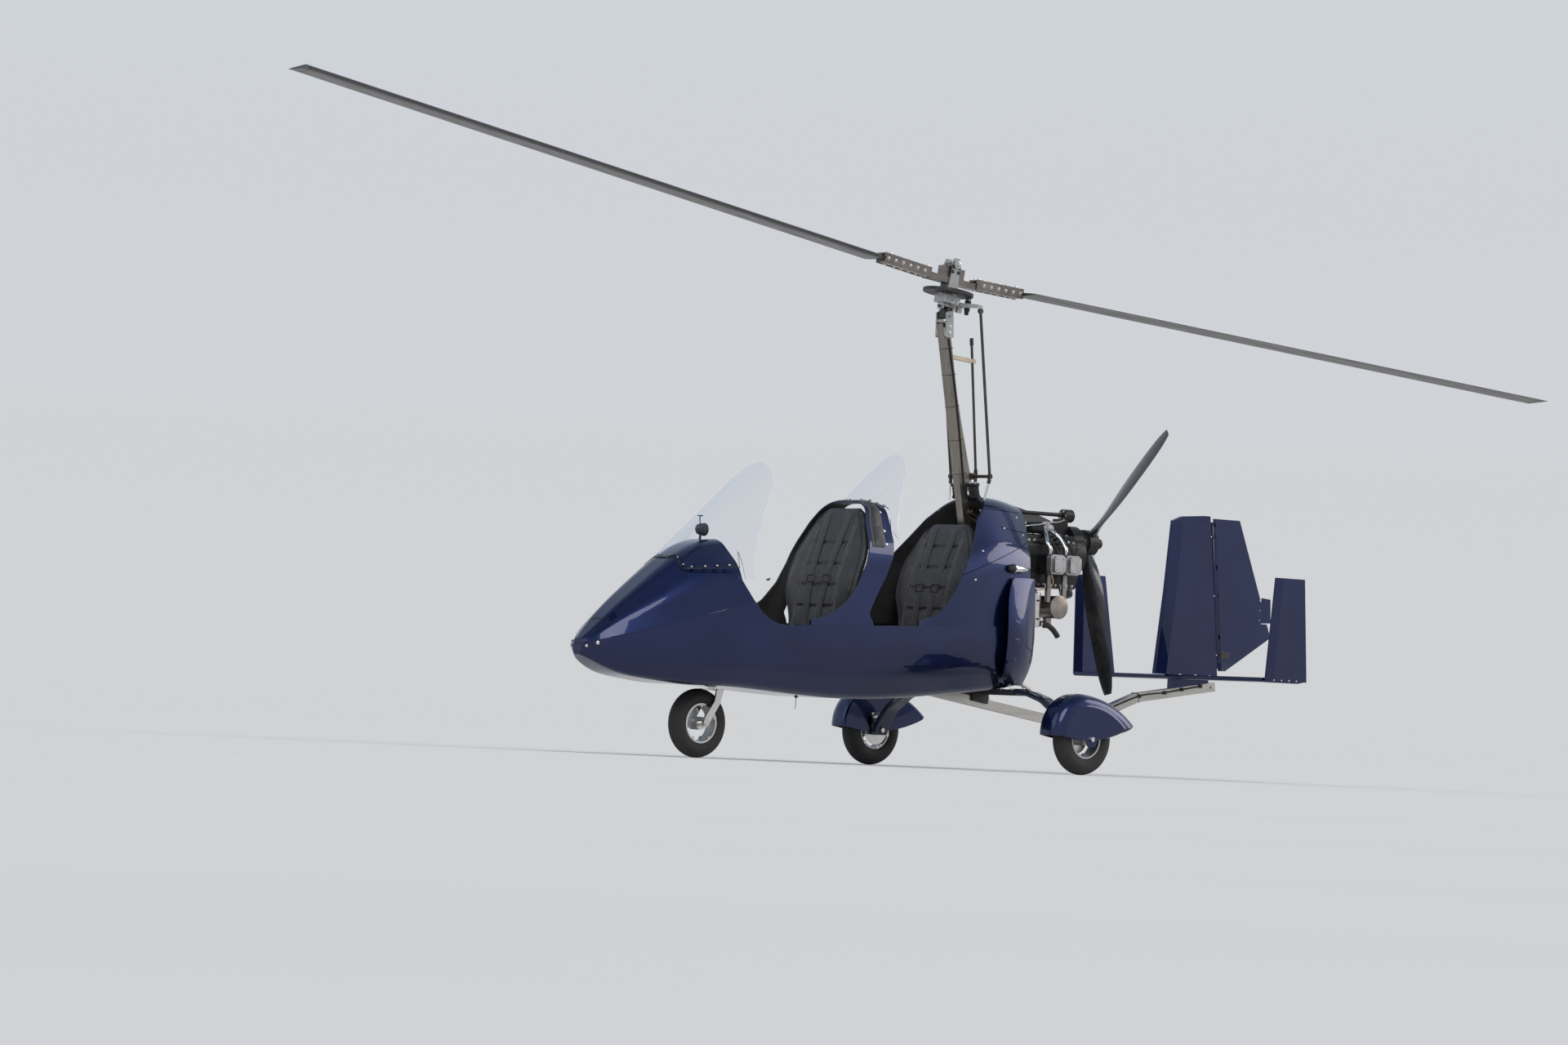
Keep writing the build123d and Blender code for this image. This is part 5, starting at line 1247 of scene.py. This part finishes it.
MAST_FOOT = vec(-0.352, 0, 0.394)
MAST_LEAN = math.radians(11.7)
mast_up = vec(math.sin(MAST_LEAN), 0, math.cos(MAST_LEAN))
mast_aft = vec(-math.cos(MAST_LEAN), 0, math.sin(MAST_LEAN))


def on_mast(z, aft=0.0, port=0.0):
    return MAST_FOOT + mast_up * ((z - 0.394) / math.cos(MAST_LEAN)) + mast_aft * aft + vec(0, port, 0)


cable_routes = []
for port, phase in ((-0.013, 0.0), (-0.004, 1.1), (0.005, 2.3)):
    cable_routes.append([
        on_mast(z, 0.0292 + 0.0012 * math.sin(6 * z + phase), port + 0.002 * math.sin(5 * z + phase))
        for z in [1.5 + 0.0875 * n for n in range(10)]
    ])
cable_routes.append([
    on_mast(z, 0.01 * math.sin(4.0 * z) + 0.004, 0.0288) for z in [1.52 + 0.1 * n for n in range(9)]
])
hoses("mast_cables", rubber, cable_routes, 3.6)
# A tie's corners round the mast and its cables, as distances aft and to port
TIE = (
    (-0.0262, -0.0262), (0.0262, -0.0262), (0.0345, -0.018), (0.0345, 0.012), (0.026, 0.0335),
    (-0.01, 0.0335), (-0.0262, 0.0262),
)
ties = Batch()
for z in (1.6, 1.78, 1.96, 2.13, 2.27):
    ties.tube([on_mast(z, aft, port) for aft, port in TIE], 1.3, 6, closed=True)
ties.make("cable_ties", black_trim)
bracket = Batch()
half = vec(0, 0.014, 0)
edge = [on_mast(2.214, 0.0245), vec(-0.178, 0, 2.203), vec(-0.178, 0, 2.225), on_mast(2.236, 0.0245)]
bracket.rings([[p + half for p in edge], [p - half for p in edge]])
bracket.make("shaft_bracket", cream_bracket)
shaft_tubes, shaft_ends = Batch(), Batch()
for port in (-0.007, 0.009):
    top, foot = vec(-0.15 + port * 0.6, port, 2.33), vec(-0.226 + port * 0.6, port, 1.6)
    shaft_tubes.tube([top, foot], 5.5, 12)
    shaft_ends.lathe(top, top - foot, [(8.5, -30), (8.5, 6), (6, 10)], 14)
    shaft_ends.lathe(foot, foot - top, [(8.5, -30), (8.5, 10)], 14)
shaft_tubes.tube([vec(-0.226, 0.001, 1.604), vec(-0.222, 0.001, 1.47)], 9, 12)
shaft_tubes.make("prerotator_shafts", steel_dark)
shaft_ends.make("prerotator_shaft_ends", black_trim)

foot_bars, bobbins, foot_bolts = Batch(), Batch(), Batch()
BAR_HEIGHTS = (1.535, 1.47)
BAR_AFT = 0.036
for z in BAR_HEIGHTS:
    foot_bars.tube([on_mast(z, BAR_AFT, -0.105), on_mast(z, BAR_AFT, 0.105)], 10.5, 14)
for port in (-0.085, -0.045, 0.045, 0.085):
    high_point, low_point = [on_mast(z, BAR_AFT, port) for z in BAR_HEIGHTS]
    axis = high_point - low_point
    rows = []
    for n in range(5):
        rows += [(16.5, 6 + 11 * n), (14, 11.5 + 11 * n)]
    bobbins.lathe(low_point, axis, rows, 18)
    foot_bolts.bolt(high_point + vec(0, 0, 0.0085), axis, 13, 8)
foot_bars.make("mast_foot_bars", black_trim)
bobbins.make("mast_foot_bobbins", rubber)
foot_bolts.make("mast_foot_bolts", zinc)
lower_rods, lower_ends = Batch(), Batch()
for side in (1, -1):
    eye, foot = vec(-0.186, side * 0.156, 1.5755), vec(-0.168, side * 0.14, 1.462)
    lower_rods.tube([eye + (foot - eye) * 0.12, foot], 6.2, 12)
    lower_ends.lathe(eye, foot - eye, [(10.5, 0), (10.5, 20), (7.5, 26)], 14)
lower_rods.make("lower_control_rods", bright_metal)
lower_ends.make("lower_rod_ends", steel_dark)

# Rotor head: hub fasteners, root bolts, teeter bolt ends, ring gear teeth and drive pinion

HEAD_TILT = math.radians(8)
BLADE_TURN = math.radians(-5.8)
BLADE_CONE = math.radians(2.7)
hub_point = vec(0.0275, 0, 2.64)
shaft_up = vec(-math.sin(HEAD_TILT), 0, math.cos(HEAD_TILT))
shaft_ahead = vec(math.cos(HEAD_TILT), 0, math.sin(HEAD_TILT))
blade_line = shaft_ahead * math.cos(BLADE_TURN) + vec(0, 1, 0) * math.sin(BLADE_TURN)
blade_across = shaft_up.cross(blade_line)


def blade_frame(turn):
    """Outward, across and up on the front (1) or rear (-1) blade, and a function that gives its points."""
    outward = blade_line * (math.cos(BLADE_CONE) * turn) + shaft_up * math.sin(BLADE_CONE)
    across = blade_across * turn
    up = outward.cross(across)
    if up.z < 0:
        up = -up
    return outward, across, up, lambda x, y, z: hub_point + outward * x + across * y + up * z


def round_shaft(angle):
    return shaft_ahead * math.cos(angle) + vec(0, 1, 0) * math.sin(angle)


root_nuts, shim = Batch(), Batch()
for turn in (1, -1):
    outward, across, up, on_blade = blade_frame(turn)
    for n in range(6):
        along = 0.18 + 0.05 * n
        for aside in (-0.021, 0.021) if n in (0, 5) else (0.0,):
            spot, _ = touch("hub_bar", on_blade(along, aside, 0.3), -up, 1.0)
            root_nuts.bolt(spot, up, 14, 8)
            root_nuts.lathe(spot, up, [(4, 6), (4, 13), (2.8, 14.5)], 12)
            root_nuts.bolt_on("hub_bar", on_blade(along, aside, -0.3), up, 14, 7, reach=1.0)
        for edge in (-1, 1):
            root_nuts.bolt_on("hub_bar", on_blade(along + 0.022, edge * 0.3, 0.002), across * -edge, 10, 5,
                              reach=1.0)
    shim.band([on_blade(0.462, a, 0.0302) for a in (-0.036, -0.012, 0.012, 0.036)], [up] * 4, 4.5, -0.2, 1.2)
root_nuts.make("blade_root_bolts", zinc, "rotor")
shim.make("blade_root_shims", black_trim, "rotor")

pivot = hub_point + shaft_up * 0.084
teeter_ends, hub_screws = Batch(), Batch()
for side in (1, -1):
    spot, _ = touch("hub_tower", pivot + blade_across * side * 0.3, blade_across * -side, 1.0)
    teeter_ends.bolt(spot - blade_across * side * 0.002, blade_across * side, 22, 9)
    teeter_ends.lathe(spot, blade_across * side, [(6.2, 4), (6.2, 12.5), (4.5, 14)], 14)
    for along in (-0.02, 0.02):
        for height in (-0.04, -0.012):
            start = pivot + blade_line * along + shaft_up * height + blade_across * side * 0.3
            hub_screws.bolt_on("hub_tower", start, blade_across * -side, 11, 6,
                               lambda spot: abs((spot - pivot).dot(blade_across)) < 0.045, reach=1.0)
teeter_ends.make("teeter_bolt_ends", zinc, "rotor_mast")
hub_screws.make("tower_bolts", steel_dark, "rotor_mast")

ring_centre = hub_point + shaft_up * -0.066
rim_spot, _ = touch("ring_gear", ring_centre + shaft_ahead * 0.4, -shaft_ahead, 1.0)
ring_radius = (rim_spot - ring_centre).length
teeth = Batch()
for angle in steps_round(84):
    out = round_shaft(angle)
    side_way = shaft_up.cross(out)
    base = ring_centre + out * (ring_radius - 0.0055)
    outline = [base + side_way * u + out * v
               for u, v in ((-0.0035, 0.0), (-0.0018, 0.0056), (0.0018, 0.0056), (0.0035, 0.0))]
    teeth.rings([[p + shaft_up * height for p in outline] for height in (-0.006, 0.006)])
teeth.make("ring_gear_teeth", steel_dark, "rotor_mast")
gear_bolts = Batch()
for angle in steps_round(6, 0.5):
    start = ring_centre + round_shaft(angle) * 0.034 + shaft_up * 0.2
    gear_bolts.bolt_on("ring_gear", start, -shaft_up, 10, 6,
                       lambda spot: (spot - ring_centre).dot(shaft_up) < 0.03, reach=1.0)
gear_bolts.make("ring_gear_bolts", zinc, "rotor_mast")

pinion_centre = ring_centre - shaft_ahead * (ring_radius + 0.0148)
pinion, pinion_boot, pinion_arm = Batch(), Batch(), Batch()
section = []
for n in range(11):
    for share, radius in ((0.0, 12), (0.25, 15.5), (0.5, 15.5), (0.75, 12)):
        angle = 2 * math.pi * (n + share) / 11
        section.append((radius * math.cos(angle), radius * math.sin(angle)))
pinion.sweep([pinion_centre - shaft_up * 0.012, pinion_centre, pinion_centre + shaft_up * 0.01], section)
pinion.lathe(pinion_centre + shaft_up * 0.008, shaft_up, [(9.5, 0), (9.5, 12), (7, 15)], 16)
pinion_boot.lathe(pinion_centre - shaft_up * 0.014, -shaft_up, [
    (15, 0), (19, 6), (15, 14), (18.5, 21), (14.5, 29), (18, 36),
    (14, 44), (17, 51), (12.5, 60), (11, 78),
], 18)
arm_end = pinion_centre - shaft_up * 0.052
arm_start, _ = touch("bearing_block", arm_end + shaft_ahead * 0.005, shaft_ahead, 0.3)
pinion_arm.tube([arm_end, arm_start + shaft_ahead * 0.006], 8.5, 12)
pinion.make("drive_pinion", bright_metal, "rotor_head")
pinion_boot.make("drive_pinion_boot", rubber, "rotor_head")
pinion_arm.make("drive_pinion_arm", steel_dark, "rotor_head")

for name, node, places, across, height, least, body in (
    ("bearing_block_bolts", "bearing_block", ((0.01, 2.515), (0.046, 2.52)), 12, 6, 0.03, "rotor_head"),
    ("head_fork_bolts", "head_fork", ((0.0535, 2.35), (0.0535, 2.384)), 13, 7, 0.02, "airframe"),
):
    side_bolts = Batch()
    for side in (1, -1):
        for x, z in places:
            side_bolts.bolt_on(node, (x, side * 2.0, z), (0, -side, 0), across, height,
                               lambda spot: abs(spot.y) > least)
    side_bolts.make(name, zinc, body)

# Seams at the blade ends

BLADE_END, SEAM_START = 4.19, 4.148
seams = Batch()
for turn, name in ((1, "front_blade"), (-1, "rear_blade")):
    outward, across, up, on_blade = blade_frame(turn)
    second_look(name, prop_black, lambda c, n: (c - hub_point).dot(outward) > BLADE_END)
    for side in (1, -1):
        found = []
        for n in range(19):
            aside = 0.204 * n / 18 - 0.15
            start = on_blade(SEAM_START + 0.18 * (aside + 0.15), aside, side * 0.2)
            found.append(touch(name, start, up * -side, 0.5))
        seams.band([spot for spot, _ in found], [normal for _, normal in found], 2.2, -0.2, 0.6)
seams.make("blade_end_seams", black_trim, "rotor")

# Main wheels: rim bolts, valve stems, brake discs, calipers and hoses

AXLE_Z, AXLE_X, DISC_Y = 0.1925, -0.3, 0.8035
LEG_LINE = [(352, 427), (450, 423), (560, 392), (680, 316), (752, 240)]
CALIPER = (
    (-0.026, -0.016), (0.016, -0.026), (0.03, -0.004), (0.02, 0.022), (-0.01, 0.03), (-0.028, 0.012),
)
calipers, brake_hoses, leg_clips = Batch(), [], Batch()
for side, name in ((1, "left_wheel"), (-1, "right_wheel")):
    rim = name.replace("wheel", "rim")
    wheel_bolts, valve, disc = Batch(), Batch(), Batch()
    for radius, offset, across, height in ((0.046, 0.25, 11, 6), (0.0915, 0, 8, 4)):
        for angle in steps_round(6, offset):
            start = (AXLE_X + radius * math.cos(angle), side * 2, AXLE_Z + radius * math.sin(angle))
            wheel_bolts.bolt_on(rim, start, (0, -side, 0), across, height)
    valve_foot, _ = touch(rim, (AXLE_X + 0.062, side * 2, AXLE_Z + 0.04), (0, -side, 0))
    valve.lathe(valve_foot, (0.25, side, 0.15), [
        (4.5, -2), (4.5, 12), (3, 14), (3, 22), (4.5, 23), (4.5, 30),
    ], 12)
    disc.lathe((AXLE_X, side * DISC_Y, AXLE_Z), (0, side, 0),
               [(46, -2), (80, -2), (80, 2), (46, 2)], 48)
    wheel_bolts.make(name + "_bolts", zinc, name)
    valve.make(name + "_valve", rubber, name)
    disc.make(name + "_brake_disc", bright_metal, name)
    place = vec(AXLE_X + 0.058, side * (DISC_Y - 0.0115), AXLE_Z + 0.048)
    calipers.plate(offsets(place, CALIPER), (0, -side, 0), 10, 3)
    hose = [vec(-0.262, side * y / 1000, z / 1000 + 0.0175) for y, z in LEG_LINE]
    brake_hoses.append(hose + [vec(-0.25, side * 0.78, 0.25)])
    for point in hose[1:4]:
        leg_clips.lathe(point - vec(0, side * 0.006, -0.003), (0, side, -0.55), [(6.8, 0), (6.8, 12)], 12)
calipers.make("brake_calipers", gear_paint)
hoses("brake_hoses", rubber, brake_hoses, 4.2)
leg_clips.make("brake_hose_clips", black_trim)
clamp_bolts = Batch()
for side, axle in ((1, "left_axle"), (-1, "right_axle")):
    for y in (0.07, 0.16, 0.25, 0.33):
        for x in (-0.344, -0.256):
            clamp_bolts.bolt_on("gear_clamp", (x, side * y, 0.6), (0, 0, -1), 15, 9,
                                lambda spot: 0.4 < spot.z < 0.46, along_normal=True)
            clamp_bolts.bolt_on("gear_clamp", (x, side * y, 0.2), (0, 0, 1), 15, 9,
                                lambda spot: 0.34 < spot.z < 0.4, along_normal=True)
    second_look(axle, bright_metal, lambda c, n: abs(n.y) > 0.9 and abs(c.y) > 0.93)
clamp_bolts.make("gear_clamp_bolts", zinc)

# Nose wheel: rim bolts, valve, axle nuts and fork bolts

nose_centre = vec(1.677, 0, 0.182)
nose_bolts, nose_valve, fork_nuts = Batch(), Batch(), Batch()
for side in (1, -1):
    for n in range(5):
        angle = 2 * math.pi * n / 5 + 0.3
        start = nose_centre + vec(0.04 * math.cos(angle), side * 0.5, 0.04 * math.sin(angle))
        nose_bolts.bolt_on("nose_rim", start, (0, -side, 0), 10, 5, lambda spot: abs(spot.y) > 0.012)
    fork_nuts.bolt_on("nose_fork", nose_centre + vec(0, side * 0.5, 0), (0, -side, 0), 19, 9)
    for x, z in ((1.64, 0.33), (1.628, 0.365)):
        fork_nuts.bolt_on("nose_fork", (x, side * 2.0, z), (0, -side, 0), 12, 6,
                          lambda spot: abs(spot.y) > 0.03, along_normal=True)
valve_foot, _ = touch("nose_rim", nose_centre + vec(0.048, 0.5, 0.03), (0, -1, 0))
nose_valve.lathe(valve_foot, (0.25, 1, 0.15), [
    (4.5, -2), (4.5, 10), (3, 12), (3, 18), (4.2, 19), (4.2, 24),
], 12)
nose_bolts.make("nose_wheel_bolts", zinc, "nose_wheel")
nose_valve.make("nose_wheel_valve", rubber, "nose_wheel")
fork_nuts.make("nose_fork_nuts", zinc, "steering_fork")

# Propeller hub bolts

hub_middle = vec(-1.073, 0, 1.274)
hub_fasteners = Batch()
for angle in steps_round(6, 0.5):
    aim = hub_middle + vec(0, 0.05 * math.cos(angle), 0.05 * math.sin(angle))
    hub_fasteners.bolt_on("propeller_hub", aim + vec(-0.5, 0, 0), (1, 0, 0), 13, 7,
                          lambda spot: spot.x > -1.168)
    hub_fasteners.bolt_on("propeller_hub", aim + vec(0.5, 0, 0), (-1, 0, 0), 13, 5,
                          lambda spot: spot.x < -0.95, reach=0.6)
hub_fasteners.make("propeller_hub_bolts", zinc, "propeller")
shaft_cap = Batch()
shaft_cap.lathe((-1.1705, 0, 1.274), (-1, 0, 0),
                [(21.5, -12), (21.5, 0), (19.5, 0.5), (19.5, 0.3), (12, 0)], 24)
shaft_cap.make("propeller_shaft_cap", bright_metal, "propeller")

# Starter shaft from the cowl to the pulley

shaft_front = Batch()
shaft_front.tube([vec(-0.42, 0.03, 1.412), vec(-0.47, 0.018, 1.417), vec(-0.56, 0.0, 1.418)], 9.5, 14)
shaft_front.lathe((-0.556, 0.0, 1.418), (1, 0, 0), [(13.5, -12), (13.5, 10), (11, 14)], 18)
shaft_front.make("starter_shaft_front", steel_dark)

# Tail: cable along the boom, its clips, weld seams, bolts, rudder horn plates and trim screws

boom_cable = []
for x, z in (
    (-1.03, 0.292), (-1.25, 0.372), (-1.5045, 0.46), (-1.698, 0.486), (-1.83, 0.509), (-1.973, 0.533),
):
    spot, _ = side_touch("tail_boom", x, z - 0.012, 1)
    boom_cable.append(vec(x, min(spot.y, 0.0255) + 0.0046, z - 0.012))
hoses("boom_cable", rubber, [boom_cable], 4)
clips = Batch()
for point in boom_cable[1:]:
    outline = offsets(point, ((-0.008, -0.01), (0.008, -0.01), (0.008, 0.01), (-0.008, 0.01)))
    clips.plate(outline, (0, 1, 0), 5.6, 1.5)
clips.make("boom_cable_clips", black_trim)
welds = Batch()
for x, z in ((-1.499, 0.439), (-1.031, 0.266)):
    ring = [vec(x + 0.25 * dz, dy, z + dz)
            for dy, dz in ((0.0252, -0.026), (0.0252, 0.026), (-0.0252, 0.026), (-0.0252, -0.026))]
    welds.tube(ring, 2.2, 8, closed=True)
welds.make("boom_welds", steel_dark)
tail_bolts = Batch()
for x in (-1.78, -1.9, -2.01):
    for side in (1, -1):
        tail_bolts.bolt_on("stabilizer", (x, side * 0.055, 1.2), (0, 0, -1), 12, 6,
                           lambda spot: 0.55 < spot.z < 0.6)
        tail_bolts.bolt_on("stabilizer", (x, side * 0.055, 0.2), (0, 0, 1), 12, 6,
                           lambda spot: 0.48 < spot.z < 0.53)
for side, fin_name in ((1, "left_tip_fin"), (-1, "right_tip_fin")):
    for x in (-1.8, -1.86, -1.92, -1.98):
        tail_bolts.dome(*side_touch(fin_name, x, 0.566, side), 5, 2.4)
for z in (0.7, 1.03, 1.36):
    hinge_at = -2.126 + (z - 0.592) * (0.099 / 0.884)
    for side in (1, -1):
        tail_bolts.dome(*side_touch("fin", hinge_at + 0.019, z, side), 4.5, 2.4)
tail_bolts.make("tail_bolts", zinc)
horn = Batch()
for side in (1, -1):
    spot, _ = side_touch("rudder", -2.15, 0.7, side)
    outline = offsets(spot, ((0.02, -0.02), (0.02, 0.024), (-0.045, 0.016), (-0.045, -0.012)))
    horn.plate(outline, (0, side, 0), 3, 1)
    for dx, dz in ((0.01, 0.014), (0.01, -0.01), (-0.034, 0.002)):
        horn.dome(spot + vec(dx, side * 0.003, dz), (0, side, 0), 4.5, 2.4)
horn.make("rudder_horn_plates", steel_dark, "rudder")
trim_screws = Batch()
for z in (0.91, 0.965, 1.02):
    for side in (1, -1):
        trim_screws.dome(*side_touch("rudder", -2.436, z, side), 3.6, 1.8)
trim_screws.make("trim_tab_screws", zinc, "rudder")

# Scoop skins: low painted blisters over thin places in the side wall

BLISTERS = [
    (-0.206, 0.701, 0.03, 0.016), (-0.206, 0.8, 0.027, 0.014), (-0.212, 0.881, 0.018, 0.01),
    (-0.21, 0.6, 0.022, 0.01), (-0.233, 0.517, 0.026, 0.013), (-0.227, 0.959, 0.01, 0.008),
    (-0.27, 0.485, 0.034, 0.014),
]


def wall_blisters(node, side):
    """Low painted ovals that follow the wall, from three points of it on each row."""
    blister = Batch()
    for x0, z0, half_x, half_z in BLISTERS:
        rings = []
        for lift, share in ((-0.0004, 1.0), (0.0006, 0.88), (0.0006, 0.6), (0.0006, 0.3), (0.0006, 0.02)):
            ring = []
            for angle in steps_round(28):
                x, z = x0 + half_x * share * math.cos(angle), z0 + half_z * share * math.sin(angle)
                known = [side_touch(node, x0 + k * half_x, z, side)[0] for k in (-2.4, -1.2, 1.2)]
                y = 0.0
                for own in known:
                    weight = 1.0
                    for other in known:
                        if other is not own:
                            weight *= (x - other.x) / (own.x - other.x)
                    y += weight * own.y
                ring.append((x, y + side * lift, z))
            rings.append(ring)
        blister.rings(rings, low_end=False)
    blister.make(node + "_blisters", paint)


wall_blisters("left_air_scoop", 1)
wall_blisters("right_air_scoop", -1)
